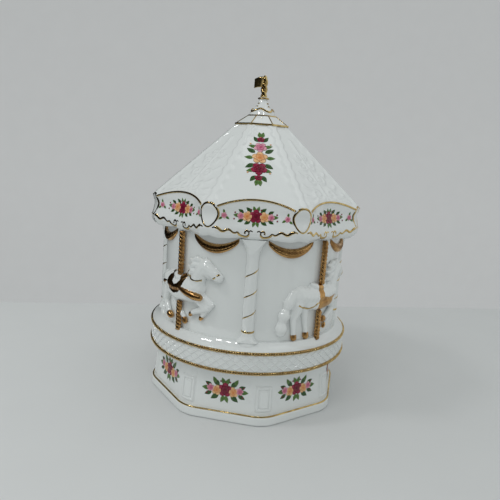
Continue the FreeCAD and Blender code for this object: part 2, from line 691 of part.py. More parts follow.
def make_cylinder_wheel():
    root, tip, root_width, tip_width = train_teeth(CYLINDER_WHEEL_R)
    toward_lay = -math.pi / 2
    gear = tooth_ring(CYLINDER_WHEEL_TEETH, root, tip, root_width, tip_width, TRAIN_WIDTH, toward_lay)
    gear = gear.cut(disc(CYLINDER_ARBOR_R, -1, TRAIN_WIDTH + 1))
    return along_x(gear, WHEEL_X, 0, AXIS_Z)


def make_lay_pinion():
    """The layshaft with its leaf pinion, cut from one bar."""
    root, tip, root_width, tip_width = train_teeth(LAY_PINION_R)
    toward_cylinder = math.pi / 2 + math.pi / LAY_PINION_TEETH
    width = TRAIN_WIDTH + 0.4
    gear = tooth_ring(LAY_PINION_TEETH, root, tip, 0.8 * root_width, tip_width, width, toward_cylinder)
    gear = along_x(gear, WHEEL_X - 0.2, LAY_Y, AXIS_Z)
    end = END_BRACKET_X + BRACKET_THICK
    return gear.fuse(rod_x(LAY_ARBOR_R, LAY_COCK_X, end - LAY_COCK_X, LAY_Y, AXIS_Z)).removeSplitter()


def make_worm_wheel():
    root = WORM_WHEEL_R - 1.2 * WORM_MODULE
    tip = WORM_WHEEL_R + 0.85 * WORM_MODULE
    gap_toward_worm = -math.pi / 2 + math.pi / WORM_WHEEL_TEETH
    root_width, tip_width = 1.5 * WORM_MODULE, 0.6 * WORM_MODULE
    gear = tooth_ring(WORM_WHEEL_TEETH, root, tip, root_width, tip_width, TRAIN_WIDTH, gap_toward_worm)
    gear = gear.cut(disc(LAY_ARBOR_R, -1, TRAIN_WIDTH + 1))
    return along_x(gear, WORM_WHEEL_X, LAY_Y, AXIS_Z)


def make_worm():
    """The governor's endless screw: a single thread on a slim upright arbor."""
    core_r = WORM_PITCH_R - 1.1 * WORM_MODULE
    tip_r = WORM_PITCH_R + 0.85 * WORM_MODULE
    low = AXIS_Z - WORM_HALF
    half_root, half_tip = 0.7 * WORM_THREAD_WIDTH, 0.35 * WORM_THREAD_WIDTH
    sunk = core_r - 0.15
    helix = Part.makeHelix(WORM_PITCH, WORM_PITCH * WORM_TURNS, core_r)
    section = [V(sunk, 0, -half_root), V(tip_r, 0, -half_tip), V(tip_r, 0, half_tip), V(sunk, 0, half_root)]
    profile = Part.makePolygon(section + section[:1])
    thread = Part.Wire(helix).makePipeShell([profile], True, True)
    thread.rotate(ORIGIN, Z_AXIS, -90)
    thread.translate(V(0, 0, low))
    core = disc(core_r, low - WORM_PITCH / 2, AXIS_Z + WORM_HALF + WORM_PITCH / 2)
    arbor = disc(LAY_ARBOR_R, BED_LOW + 0.2, FAN_LOW + FAN_HEIGHT)
    worm = fused([core, thread, arbor])
    worm.translate(V(WORM_X, WORM_Y, 0))
    return worm


def make_fan():
    """The air brake: two flat vanes on a hub that is pushed on to the worm's arbor."""
    hub = disc(LAY_ARBOR_R + 0.8, FAN_LOW, FAN_LOW + FAN_HEIGHT)
    vane = block((-FAN_R, FAN_R), (-FAN_THICK / 2, FAN_THICK / 2), (FAN_LOW, FAN_LOW + FAN_HEIGHT))
    fan = hub.fuse(vane).cut(disc(LAY_ARBOR_R, FAN_LOW - 1, FAN_LOW + FAN_HEIGHT + 1)).removeSplitter()
    fan.translate(V(WORM_X, WORM_Y, 0))
    return fan


def upright(x, y, top, bores):
    """A bearing bracket that stands on the bedplate, with a bore for each (y, radius)."""
    plate = block((x, x + BRACKET_THICK), y, (BED_TOP, top))
    foot = block((x, x + 3 * BRACKET_THICK), y, (BED_TOP, BED_TOP + BRACKET_THICK))
    plate = plate.fuse(foot).removeSplitter()
    for place, radius in bores:
        plate = plate.cut(rod_x(radius + RUNNING_CLEARANCE, x - 1, BRACKET_THICK + 2, place, AXIS_Z))
    return plate


def make_left_bearing():
    half = CYLINDER_ARBOR_R + 1.6
    near = CYLINDER_BRACKET_X
    plate = block((near, near + BRACKET_THICK), (-half, half), (BED_TOP, AXIS_Z + half))
    return plate.cut(rod_x(CYLINDER_ARBOR_R + RUNNING_CLEARANCE, near - 1, BRACKET_THICK + 2, 0, AXIS_Z))


def make_right_bearing():
    half = CYLINDER_ARBOR_R + 1.6
    bores = [(0, CYLINDER_ARBOR_R), (LAY_Y, LAY_ARBOR_R)]
    return upright(END_BRACKET_X, (-half, LAY_Y + 1.8), AXIS_Z + half, bores)


def make_lay_cock():
    edge = CYLINDER_R + PIN_HEIGHT + 0.4
    plate = block((LAY_COCK_X, LAY_COCK_X + BRACKET_THICK), (edge, LAY_Y + 1.8), (BED_TOP, AXIS_Z + 1.8))
    return plate.cut(rod_x(LAY_ARBOR_R + RUNNING_CLEARANCE, LAY_COCK_X - 1, 3, LAY_Y, AXIS_Z))


def make_governor_cock():
    """The post and arm that steady the upper end of the worm, below the fan."""
    axis = V(WORM_X, WORM_Y, 0)
    width = (WORM_X - 2 * BRACKET_THICK, WORM_X + 2 * BRACKET_THICK)
    post = block(width, (COCK_NEAR_Y, COCK_FAR_Y), (BED_TOP, COCK_ARM_TOP))
    arm = block(width, (WORM_Y, COCK_NEAR_Y), (COCK_ARM_LOW, COCK_ARM_TOP))
    nose = disc(2 * BRACKET_THICK, COCK_ARM_LOW, COCK_ARM_TOP, axis)
    bore = disc(LAY_ARBOR_R + RUNNING_CLEARANCE, COCK_ARM_LOW - 1, COCK_ARM_TOP + 1, axis)
    return fused([post, arm, nose]).cut(bore)


def comb_screw_places():
    back = COMB_BACK_Y + ANVIL_DEPTH / 2
    return [V(CYLINDER_X + CYLINDER_LENGTH * share, back, 0) for share in (0.2, 0.8)]


def make_comb():
    """The steel comb: one slotted tooth per track, longer towards the bass end."""
    plate = block((CYLINDER_X, CYLINDER_END_X), (COMB_BACK_Y, COMB_TIP_Y), (AXIS_Z, AXIS_Z + COMB_THICK))
    spacing = CYLINDER_LENGTH / (PIN_TRACKS + 1)
    longest = COMB_REACH - ANVIL_DEPTH - 0.8
    slots = []
    for i in range(PIN_TRACKS + 1):
        middle = CYLINDER_X + spacing * (i + 0.5)
        depth = longest * (1 - 0.35 * i / PIN_TRACKS)
        width = (middle - COMB_SLOT / 2, middle + COMB_SLOT / 2)
        slots.append(block(width, (COMB_TIP_Y - depth, COMB_TIP_Y + 1), (AXIS_Z - 1, AXIS_Z + 2)))
    plate = plate.cut(Part.makeCompound(slots))
    for place in comb_screw_places():
        plate = plate.cut(disc(SCREW_R + RUNNING_CLEARANCE, AXIS_Z - 1, AXIS_Z + 2, place))
    return plate


def make_anvil():
    depth = (COMB_BACK_Y, COMB_BACK_Y + ANVIL_DEPTH)
    anvil = block((CYLINDER_X, CYLINDER_END_X), depth, (BED_TOP, AXIS_Z))
    for place in comb_screw_places():
        anvil = anvil.cut(disc(SCREW_R, AXIS_Z - 4, AXIS_Z + 1, place))
    return anvil


def make_comb_screws():
    top = AXIS_Z + COMB_THICK
    return Part.makeCompound([screw(p, top, COMB_THICK + 3.5, False) for p in comb_screw_places()])


def make_click_screw():
    place = click_screw_place()
    return screw(place, BED_TOP + SPRING_STRIP, SPRING_STRIP, False)


# Turntable and platform
def make_turntable_plate():
    plate = disc(TURNTABLE_R, TURNTABLE_LOW, TURNTABLE_TOP)
    return plate.cut(disc(SHAFT_R - 1.5, TURNTABLE_LOW - 1, TURNTABLE_TOP + 1))


def make_turntable_shaft():
    shaft = disc(SHAFT_R, GREAT_WHEEL_TOP, TURNTABLE_LOW)
    spigot = disc(SHAFT_R - 1.5, TURNTABLE_LOW, TURNTABLE_TOP)
    return shaft.fuse(spigot).cut(disc(SCREW_R, TURNTABLE_LOW - 4, TURNTABLE_TOP + 1)).removeSplitter()


def make_turntable_screw():
    return screw(ORIGIN, TURNTABLE_TOP, 4.5, False)


def make_platform():
    """The round floor of the carousel: a flat floor, an upright band and a coved ledge up to the drum."""
    lip = PLATFORM_RIM_R - PLATFORM_LIP_WIDTH
    inner = DRUM_R - DRUM_WALL
    foot_r = DRUM_R + DRUM_FOOT_OUT
    low = [
        (PLATFORM_HOLE_R, PLATFORM_LOW),
        (lip, PLATFORM_LOW),
        (lip, RIM_LOW),
        (PLATFORM_RIM_R, RIM_LOW),
        (PLATFORM_RIM_R, RIM_TOP),
    ]
    high = [
        (foot_r, PLATFORM_TOP),
        (inner, PLATFORM_TOP),
        (inner, FLOOR_TOP),
        (PLATFORM_HOLE_R, FLOOR_TOP),
    ]
    as_points = [V(r, 0, z) for r, z in low], [V(r, 0, z) for r, z in high]
    edges = [Part.LineSegment(a, b).toShape() for a, b in zip(as_points[0], as_points[0][1:])]
    cove = V((PLATFORM_RIM_R + foot_r) / 2 - 0.5, 0, (RIM_TOP + PLATFORM_TOP) / 2 - 0.5)
    edges.append(Part.Arc(as_points[0][-1], cove, as_points[1][0]).toShape())
    edges += [Part.LineSegment(a, b).toShape() for a, b in zip(as_points[1], as_points[1][1:])]
    edges.append(Part.LineSegment(as_points[1][-1], as_points[0][0]).toShape())
    return revolved_edges(edges)


def make_rope(height):
    """A cord of half-round section that lies flat against the platform's rim."""
    low, top = V(PLATFORM_RIM_R, 0, height - ROPE_R), V(PLATFORM_RIM_R, 0, height + ROPE_R)
    outside = V(PLATFORM_RIM_R + ROPE_R, 0, height)
    return revolved_edges([Part.Arc(low, outside, top).toShape(), Part.LineSegment(top, low).toShape()])


# Drum and its applied ornaments
def make_drum():
    inside = disc(DRUM_R - DRUM_WALL, PLATFORM_TOP - 1, DRUM_TOP + 1)
    return disc(DRUM_R, PLATFORM_TOP, DRUM_TOP).cut(inside)


def make_pillar():
    """A half-round column with a spreading foot and a trumpet capital, let against the drum."""
    low, top = PLATFORM_TOP, VALANCE_LOW
    foot, neck = low + PILLAR_FOOT_HEIGHT, top - PILLAR_CAPITAL_HEIGHT
    foot_out = V(PILLAR_FOOT_R, 0, low)
    foot_mid = V((PILLAR_FOOT_R + PILLAR_R) / 2 - 0.4, 0, low + 0.4 * PILLAR_FOOT_HEIGHT)
    shaft_low, shaft_top = V(PILLAR_R, 0, foot), V(PILLAR_R, 0, neck)
    flare = V((PILLAR_CAPITAL_R + PILLAR_R) / 2 - 0.6, 0, neck + 0.6 * PILLAR_CAPITAL_HEIGHT)
    capital = V(PILLAR_CAPITAL_R, 0, top)
    edges = [
        Part.Arc(foot_out, foot_mid, shaft_low).toShape(),
        Part.LineSegment(shaft_low, shaft_top).toShape(),
        Part.Arc(shaft_top, flare, capital).toShape(),
        Part.LineSegment(capital, V(0, 0, top)).toShape(),
        Part.LineSegment(V(0, 0, top), V(0, 0, low)).toShape(),
        Part.LineSegment(V(0, 0, low), foot_out).toShape(),
    ]
    column = revolved_edges(edges)
    column.translate(V(0, -(DRUM_R - PILLAR_SINK), 0))
    reach = disc(DRUM_R + PILLAR_CAPITAL_OUT, low, top)
    return column.common(reach).cut(disc(DRUM_R, low - 1, top + 1)).removeSplitter()


def on_wall(along, up, off):
    """A point of the drum's wall: along the wall, up from the platform and off the wall."""
    return polar(DRUM_R + off, math.degrees(along / DRUM_R), PLATFORM_TOP + up)


def make_horse(legs):
    """A carousel horse in half relief, built from tapering limbs and let against the drum."""
    limbs = []
    for a, b in HORSE_BODY_BONES:
        start, end = HORSE_BODY[a], HORSE_BODY[b]
        limbs.append(capsule(on_wall(*start[:3]), start[3], on_wall(*end[:3]), end[3]))
    for leg in legs:
        for n, (start, end) in enumerate(zip(leg, leg[1:])):
            slim = 1.0 if n == 0 else 0.96
            limbs.append(capsule(on_wall(*start[:3]), slim * start[3], on_wall(*end[:3]), end[3]))
    horse = fused(limbs)
    return horse.cut(disc(DRUM_R, PLATFORM_LOW, DRUM_TOP))


def make_pole(horse):
    """The pole above and below the horse, standing half out of the wall."""
    middle = polar(DRUM_R + POLE_OFFSET, 0, 0)
    pole = disc(POLE_R, PLATFORM_TOP, VALANCE_LOW, middle)
    pole = pole.cut(disc(DRUM_R, PLATFORM_TOP - 1, DRUM_TOP)).cut(horse)
    return Part.makeCompound([s for s in pole.Solids if s.Volume > 1.0])


def make_swag(pillar):
    """A draped swag: tapering rolls that hang in an arc below the valance, clear of the capitals."""
    places = []
    for i in range(SWAG_ROLLS + 1):
        share = 2.0 * i / SWAG_ROLLS - 1
        drop = SWAG_DROP * (1 - share * share)
        radius = SWAG_R_END + (SWAG_R_MIDDLE - SWAG_R_END) * (1 - share * share)
        up = SWAG_TOP - SWAG_R_END - drop - PLATFORM_TOP
        places.append((on_wall(SWAG_HALF_WIDTH * share, up, 0.25 * radius), radius))
    rolls = []
    for n, ((a, a_r), (b, b_r)) in enumerate(zip(places, places[1:])):
        slim = 1.0 if n % 2 else 0.97
        rolls.append(capsule(a, slim * a_r, b, slim * b_r))
    swag = turned(fused(rolls), 180.0 / SIDES).cut(disc(DRUM_R, PLATFORM_TOP, DRUM_TOP)).cut(pillar)
    return turned(swag.cut(turned(pillar, 360.0 / SIDES)), -180.0 / SIDES)


# Roof
def roof_apothem(height):
    """How far the middle of a roof slope is from the axis at a height."""
    low, top = EAVE_R * math.cos(HALF_CORNER), ROOF_TOP_R * math.cos(HALF_CORNER)
    return low + (top - low) * (height - EAVE_HEIGHT) / ROOF_RISE


def make_roof():
    """Eight flat slopes, trimmed at the eave by the bowed sides, which leaves a low arch on every side."""
    slopes = frustum(roof_apothem(DRUM_TOP), DRUM_TOP, roof_apothem(ROOF_TOP_HEIGHT), ROOF_TOP_HEIGHT)
    trim = Part.Face(bowed_octagon(EAVE_R, SIDE_APOTHEM, DRUM_TOP)).extrude(V(0, 0, ROOF_RISE + 2 * EAVE_DIP))
    inner_r = DRUM_R - DRUM_WALL
    cellar_top = EAVE_HEIGHT + EAVE_DIP
    cellar = disc(inner_r, DRUM_TOP - 1, DRUM_TOP + ROOF_WALL)
    hollow_low = min(inner_r, roof_apothem(cellar_top) - ROOF_WALL)
    hollow_top = roof_apothem(ROOF_TOP_HEIGHT) - ROOF_WALL
    hollow = frustum(hollow_low, DRUM_TOP + ROOF_WALL, hollow_top, ROOF_TOP_HEIGHT - ROOF_WALL)
    return slopes.common(trim).cut(cellar).cut(hollow).removeSplitter()


def valance_form():
    """The solid form of the valance: a flared lower edge, a hollow waist and the eave."""
    height = DRUM_TOP - VALANCE_LOW
    outlines = []
    for share, corner_out, side_out in VALANCE_SECTIONS:
        level = VALANCE_LOW + share * height
        outlines.append(bowed_octagon(EAVE_R + corner_out, SIDE_APOTHEM + side_out, level))
    return Part.makeLoft(outlines, True, True)


def scallop_cutter():
    """What is cut away below one side of the valance to leave three lobes."""
    half = EAVE_R * math.sin(HALF_CORNER)
    lobe = half / 3
    cusp, low = VALANCE_LOW + VALANCE_SCALLOP, VALANCE_LOW
    edges = []
    for middle in (-2 * lobe, 0, 2 * lobe):
        start, dip, end = V(middle - lobe, 0, cusp), V(middle, 0, low), V(middle + lobe, 0, cusp)
        edges.append(Part.Arc(start, dip, end).toShape())
    under = [V(half, 0, cusp), V(half, 0, low - 1), V(-half, 0, low - 1), V(-half, 0, cusp)]
    edges += [Part.LineSegment(a, b).toShape() for a, b in zip(under, under[1:])]
    face = Part.Face(Part.Wire(Part.__sortEdges__(edges)))
    face.translate(V(0, -(DRUM_R + PILLAR_CAPITAL_OUT), 0))
    return face.extrude(V(0, -EAVE_OVERHANG, 0))


def make_valance(form):
    ring = form.cut(disc(DRUM_R, VALANCE_LOW - 1, DRUM_TOP + 1))
    step = 360.0 / SIDES
    cutter = scallop_cutter()
    return ring.cut(Part.makeCompound([turned(cutter, step * i) for i in range(SIDES)]))


def make_medallion(form):
    """An oval boss with a rounded rim on the flat of a corner, let against the hollow of the valance."""
    depth = EAVE_OVERHANG / 2
    oval = Part.Ellipse(ORIGIN, MEDALLION_HALF_HEIGHT, MEDALLION_HALF_WIDTH).toShape()
    boss = Part.Face(Part.Wire(oval)).extrude(V(0, 0, depth))
    rim = [e for e in boss.Edges if e.BoundBox.ZMin > 0.9 * depth]
    boss = boss.makeFillet(MEDALLION_ROUND, rim)
    upright_turn = FreeCAD.Placement(ORIGIN, FreeCAD.Rotation(V(1, 0, 0), 90))
    stand = FreeCAD.Placement(ORIGIN, FreeCAD.Rotation(Z_AXIS, 90))
    boss.Placement = upright_turn.multiply(stand)
    boss.translate(V(0, depth - EAVE_R - MEDALLION_PROUD, EAVE_HEIGHT - MEDALLION_BELOW_EAVE))
    return turned(boss, 180.0 / SIDES).cut(form)


def make_cap():
    """The small octagonal cap that closes the top of the roof."""
    inward = math.cos(HALF_CORNER)
    return frustum(CAP_R * inward, ROOF_TOP_HEIGHT, CAP_TOP_R * inward, CAP_TOP)


def make_finial():
    """A bell-shaped porcelain peak with a collar, which carries the flag."""
    base_r = FINIAL_SKIRT_R + 0.6
    low = [V(0, 0, FINIAL_LOW), V(base_r, 0, FINIAL_LOW), V(FINIAL_SKIRT_R, 0, SKIRT_Z)]
    neck_z = FINIAL_TOP - FINIAL_COLLAR
    waist = V(0.45 * FINIAL_SKIRT_R + 0.55 * FINIAL_NECK_R - 0.3, 0, (SKIRT_Z + neck_z) / 2)
    neck = V(FINIAL_NECK_R, 0, neck_z)
    collar = V(FINIAL_NECK_R + 0.5, 0, (neck_z + FINIAL_TOP) / 2)
    top = V(FINIAL_NECK_R, 0, FINIAL_TOP)
    edges = [Part.LineSegment(a, b).toShape() for a, b in zip(low, low[1:])]
    edges += [
        Part.Arc(low[-1], waist, neck).toShape(),
        Part.Arc(neck, collar, top).toShape(),
        Part.LineSegment(top, V(0, 0, FINIAL_TOP)).toShape(),
        Part.LineSegment(V(0, 0, FINIAL_TOP), low[0]).toShape(),
    ]
    return revolved_edges(edges)


def make_flag():
    """A short gilded post with a pennant that droops from its top."""
    top = FINIAL_TOP + FLAG_POST_HEIGHT
    post = disc(FLAG_POST_R, FINIAL_TOP, top - FLAG_POST_R)
    knob = Part.makeSphere(FLAG_POST_R, V(0, 0, top - FLAG_POST_R))
    reach = FLAG_POST_R + FLAG_LENGTH
    upper = top - 0.8
    hoist_low = upper - FLAG_DEPTH
    tip = upper - FLAG_DROOP - FLAG_DEPTH * 0.6
    y = -FLAG_THICK / 2
    sag = V(-reach * 0.55, y, upper - 0.2 * FLAG_DROOP)
    belly = V(-reach * 0.5, y, hoist_low + 0.8)
    edges = [
        Part.Arc(V(0, y, upper), sag, V(-reach, y, upper - FLAG_DROOP)).toShape(),
        Part.LineSegment(V(-reach, y, upper - FLAG_DROOP), V(-reach * 0.9, y, tip)).toShape(),
        Part.Arc(V(-reach * 0.9, y, tip), belly, V(0, y, hoist_low)).toShape(),
        Part.LineSegment(V(0, y, hoist_low), V(0, y, upper)).toShape(),
    ]
    cloth = Part.Face(Part.Wire(edges)).extrude(V(0, FLAG_THICK, 0))
    return fused([post, knob, cloth])


# Build, turn the carousel to where it stands, and write one file per piece
def make_fixed():
    return {
        "base_pedestal": make_pedestal(),
        "cover_plate": make_cover_plate(),
        "cover_screws": make_cover_screws(),
        "bedplate": make_bedplate(),
        "bedplate_screws": make_bedplate_screws(),
        "arbor_bush": make_bush(),
        "click_spring": make_click_spring(),
        "click_screw": make_click_screw(),
        "comb": make_comb(),
        "comb_anvil": make_anvil(),
        "comb_screws": make_comb_screws(),
        "left_bearing": make_left_bearing(),
        "right_bearing": make_right_bearing(),
        "layshaft_cock": make_lay_cock(),
        "governor_cock": make_governor_cock(),
        "winding_key": make_key(),
        "spring_arbor": make_spring_arbor(),
        "ratchet_wheel": make_ratchet_wheel(),
        "thrust_washer": make_thrust_washer(),
        "barrel_cover": make_barrel_cover(),
        "spring_barrel": make_spring_barrel(),
        "mainspring": make_mainspring(),
        "great_wheel": make_great_wheel(),
        "turntable_shaft": make_turntable_shaft(),
        "turntable_plate": make_turntable_plate(),
        "turntable_screw": make_turntable_screw(),
        "cylinder_pinion": make_cylinder_pinion(),
        "pin_cylinder": make_cylinder(),
        "cylinder_arbor": make_cylinder_arbor(),
        "cylinder_wheel": make_cylinder_wheel(),
        "layshaft": make_lay_pinion(),
        "worm_wheel": make_worm_wheel(),
        "governor_worm": make_worm(),
        "governor_fan": make_fan(),
    }


def make_carousel():
    platform = make_platform()
    quarter = 360.0 / PILLAR_COUNT
    step = 360.0 / SIDES
    pillar = make_pillar()
    swag = make_swag(pillar)
    form = valance_form()
    medallion = make_medallion(form)
    made = {
        "platform": platform,
        "lower_rope": make_rope(RIM_LOW + ROPE_R),
        "upper_rope": make_rope(RIM_TOP - ROPE_R),
        "drum_wall": make_drum(),
        "roof": make_roof(),
        "valance": make_valance(form),
        "medallions": Part.makeCompound([turned(medallion, step * i) for i in range(SIDES)]),
        "roof_cap": make_cap(),
        "finial": make_finial(),
        "flag": make_flag(),
        "swags": Part.makeCompound([turned(swag, step * (i + 0.5)) for i in range(SIDES)]),
    }
    poses = {"leaping": make_horse(LEAPING_LEGS), "standing": make_horse(STANDING_LEGS)}
    poles = {pose: make_pole(horse) for pose, horse in poses.items()}
    for i in range(PILLAR_COUNT):
        pose = "standing" if i % 2 == 0 else "leaping"
        made[f"pillar_{i + 1}"] = turned(pillar, quarter * i)
        made[f"horse_{i + 1}"] = turned(poses[pose], quarter * (i + 0.5))
        made[f"pole_{i + 1}"] = turned(poles[pose], quarter * (i + 0.5))
    return {name: turned(shape, CAROUSEL_TURN) for name, shape in made.items()}


def main():
    os.makedirs("parts", exist_ok=True)
    for name, shape in {**make_fixed(), **make_carousel()}.items():
        solids = shape.Solids
        broken = [s for s in solids if not s.isValid() or s.Volume <= 0]
        state = "BROKEN" if broken or not solids else ""
        print(name, len(solids), "solids", round(shape.Volume, 1), "mm3", state)
        whole = solids[0] if len(solids) == 1 else Part.makeCompound(solids)
        whole.exportStep(os.path.join("parts", name + ".step"))


main()
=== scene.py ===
# %% [markdown]
# A porcelain carousel music box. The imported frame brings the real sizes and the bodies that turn: a
# pedestal, the carousel above it, and a small movement inside. This script gives every piece its look.
# Pieces that are already right as solids keep their frame node and only get a finish. Moulded and gilded
# pieces, whose charm is in soft edges and fine relief, are made again here and take the place of their
# plain solid.

# %% Load the frame
import json
import math

import bmesh
import bpy
import numpy as np
from mathutils import Matrix, Vector
from mathutils.bvhtree import BVHTree


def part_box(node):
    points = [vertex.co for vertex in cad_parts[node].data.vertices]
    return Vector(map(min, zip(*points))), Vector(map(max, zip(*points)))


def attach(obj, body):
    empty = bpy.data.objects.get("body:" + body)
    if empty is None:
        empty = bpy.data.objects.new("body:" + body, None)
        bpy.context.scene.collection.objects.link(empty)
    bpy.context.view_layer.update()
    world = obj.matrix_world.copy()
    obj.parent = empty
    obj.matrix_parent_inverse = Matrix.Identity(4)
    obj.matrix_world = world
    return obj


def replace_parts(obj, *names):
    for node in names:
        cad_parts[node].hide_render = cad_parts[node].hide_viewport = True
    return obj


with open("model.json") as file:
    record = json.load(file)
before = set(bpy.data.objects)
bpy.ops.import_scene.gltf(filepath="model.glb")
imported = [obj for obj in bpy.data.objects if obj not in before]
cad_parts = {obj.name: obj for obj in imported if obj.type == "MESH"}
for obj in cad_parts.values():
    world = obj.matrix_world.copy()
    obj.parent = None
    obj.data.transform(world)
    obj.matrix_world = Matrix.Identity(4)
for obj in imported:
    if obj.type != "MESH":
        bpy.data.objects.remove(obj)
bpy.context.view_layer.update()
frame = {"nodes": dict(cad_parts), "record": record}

# %% [markdown]
# Sizes come from the frame wherever a node shows them, so the dressing follows the solids. The few that
# no box can show are named here. Angles on the carousel are measured from the middle of its front pillar
# towards the right, and the whole carousel stands a little turned from the pedestal.

# %% Measures of the carousel
MM = 0.001
CAROUSEL_TURN = 10.9
SIDES = 8
PANEL = 360.0 / SIDES


def box_radius(node):
    """Half the width of a round node."""
    low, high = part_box(node)
    return round((high.x - low.x) / 2, 4)


def around(radius, degrees, height):
    """A point on the carousel at a radius, an angle from its front and a height."""
    angle = math.radians(degrees + CAROUSEL_TURN)
    return Vector((radius * math.sin(angle), -radius * math.cos(angle), height))


DRUM_R = box_radius("drum_wall")
LEDGE_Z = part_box("drum_wall")[0].z
SEAM_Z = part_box("drum_wall")[1].z
VALANCE_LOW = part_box("valance")[0].z
ROOF_TOP_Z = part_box("roof")[1].z
CAP_TOP_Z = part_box("roof_cap")[1].z
FINIAL_TOP_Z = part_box("finial")[1].z
FLAG_TOP_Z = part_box("flag")[1].z
EAVE_Z = SEAM_Z + 1.8 * MM
EAVE_R = DRUM_R + 9.9 * MM
SIDE_R = DRUM_R + 2.2 * MM
ROOF_TOP_R = 16.6 * MM
print("drum radius", DRUM_R, "eave", round(EAVE_Z, 4), "roof top", round(ROOF_TOP_Z, 4))

# %% [markdown]
# The camera stands a little above the music box, a third of a metre away, and is held slightly crooked,
# as a phone is. Its axes are worked out from three angles, and the matrix is set in one go, which leaves
# no order of rotations to get wrong.

# %% Camera
CAMERA_AZIMUTH = 10.8
CAMERA_ELEVATION = 10.92
CAMERA_ROLL = 4.04
CAMERA_DISTANCE = 0.32707
CAMERA_AIM_Z = 0.09039
CAMERA_AIM_LEFT = 0.0018
CAMERA_LENS, CAMERA_SENSOR = 36, 36


def add_object(name, data):
    """A new object in the scene."""
    thing = bpy.data.objects.new(name, data)
    bpy.context.scene.collection.objects.link(thing)
    return thing


def place_camera():
    azimuth, elevation, roll = map(math.radians, (CAMERA_AZIMUTH, CAMERA_ELEVATION, CAMERA_ROLL))
    flat = math.cos(elevation)
    back = Vector((math.sin(azimuth) * flat, -math.cos(azimuth) * flat, math.sin(elevation)))
    right = Vector((math.cos(azimuth), math.sin(azimuth), 0))
    up = back.cross(right)
    tilted_right = right * math.cos(roll) + up * math.sin(roll)
    tilted_up = up * math.cos(roll) - right * math.sin(roll)
    aim = Vector((0, 0, CAMERA_AIM_Z)) - right * CAMERA_AIM_LEFT
    pose = Matrix((tilted_right, tilted_up, back)).transposed().to_4x4()
    pose.translation = aim + back * CAMERA_DISTANCE
    data = bpy.data.cameras.new("camera")
    data.lens = CAMERA_LENS
    data.sensor_width = CAMERA_SENSOR
    camera = add_object("camera", data)
    camera.matrix_world = pose
    bpy.context.scene.camera = camera
    return camera


camera = place_camera()
print("camera at", tuple(round(c, 3) for c in camera.matrix_world.translation))

# %% [markdown]
# Every new piece goes through the same few steps: points and faces become a mesh at the origin, the mesh
# is shaded smoothly, gets its finishes and rides on its body. One helper does that. Others turn rows of
# points into faces, which suits anything that is a sheet bent round an axis, number faces on when pieces
# are joined and store values on points.


# %% Helpers for meshes
def new_piece(name, points, faces, finishes, body="carousel", face_finish=None):
    mesh = bpy.data.meshes.new(name)
    mesh.from_pydata([tuple(p) for p in points], [], [tuple(f) for f in faces])
    return dress(name, mesh, finishes, body, face_finish)


def dress(name, mesh, finishes, body="carousel", face_finish=None):
    mesh.materials.clear()
    for finish in finishes:
        mesh.materials.append(finish)
    mesh.polygons.foreach_set("use_smooth", [True] * len(mesh.polygons))
    if face_finish is not None:
        mesh.polygons.foreach_set("material_index", face_finish)
    mesh.update()
    piece = add_object(name, mesh)
    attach(piece, body)
    return piece


def grid_faces(rows, columns, close_rows=False, close_columns=True):
    """Faces of a grid of points stored row by row. Rows go up and columns go round to the right."""
    faces = []
    for i in range(rows if close_rows else rows - 1):
        for j in range(columns if close_columns else columns - 1):
            below, above = i * columns, (i + 1) % rows * columns
            after = (j + 1) % columns
            faces.append((below + j, below + after, above + after, above + j))
    return faces


def closed_rings(rings, columns):
    """Faces of rings stacked from the bottom up, closed at both ends."""
    top = tuple(range((rings - 1) * columns, rings * columns))
    return grid_faces(rings, columns) + [top, tuple(reversed(range(columns)))]


def shifted(faces, first):
    """The faces of a piece whose points are numbered on from first."""
    return [tuple(first + i for i in face) for face in faces]


def store(mesh, name, kind, field, values):
    """Store a value on every point of a mesh."""
    mesh.attributes.new(name, kind, "POINT").data.foreach_set(field, values)


def smooth_path(stops, share):
    """A smooth value through (share, value) stops."""
    places = np.array([s for s, _ in stops])
    values = np.array([v for _, v in stops])
    slopes = np.gradient(values, places)
    i = np.clip(np.searchsorted(places, share, side="right") - 1, 0, len(stops) - 2)
    gap = places[i + 1] - places[i]
    t = np.clip((share - places[i]) / gap, 0, 1)
    start = (1 + 2 * t) * (1 - t) ** 2 * values[i] + t * (1 - t) ** 2 * gap * slopes[i]
    end = t * t * (3 - 2 * t) * values[i + 1] + t * t * (t - 1) * gap * slopes[i + 1]
    return start + end


print("mesh helpers are ready")

# %% [markdown]
# The glaze is nearly white and very glossy, but no glaze is perfectly even: it lies in slow ripples and
# its white drifts a little. Gilding does the same in its own way, rubbed brown where fingers and kiln
# left it thin. Both are noise over the piece's own coordinates. Each effect is a node group, so that
# porcelain, gold and painted flowers can share it with their own numbers.


# %% Shared effects
def link_all(tree, links):
    """Links given as (from node, its output, to node, its input)."""
    for source, output, target, socket in links:
        tree.links.new(source.outputs[output], target.inputs[socket])


def add_nodes(tree, *kinds):
    """New nodes of these kinds, for a shader or a geometry tree."""
    prefix = "ShaderNode" if tree.type == "SHADER" else "GeometryNode"
    return [tree.nodes.new(prefix + kind) for kind in kinds]


def node_group(name, tree_kind, inputs, outputs):
    """A new node group with its input and output nodes."""
    group = bpy.data.node_groups.new(name, tree_kind)
    for label, kind, value in inputs:
        socket = group.interface.new_socket(label, in_out="INPUT", socket_type="NodeSocket" + kind)
        if value is not None:
            socket.default_value = value
    for label, kind in outputs:
        group.interface.new_socket(label, in_out="OUTPUT", socket_type="NodeSocket" + kind)
    return group, group.nodes.new("NodeGroupInput"), group.nodes.new("NodeGroupOutput")


def colour_mix(tree, first=(0.5,) * 3, second=(0.5,) * 3):
    """A node that mixes two colours."""
    mix = tree.nodes.new("ShaderNodeMix")
    mix.data_type = "RGBA"
    mix.inputs["A"].default_value = (*first, 1)
    mix.inputs["B"].default_value = (*second, 1)
    return mix


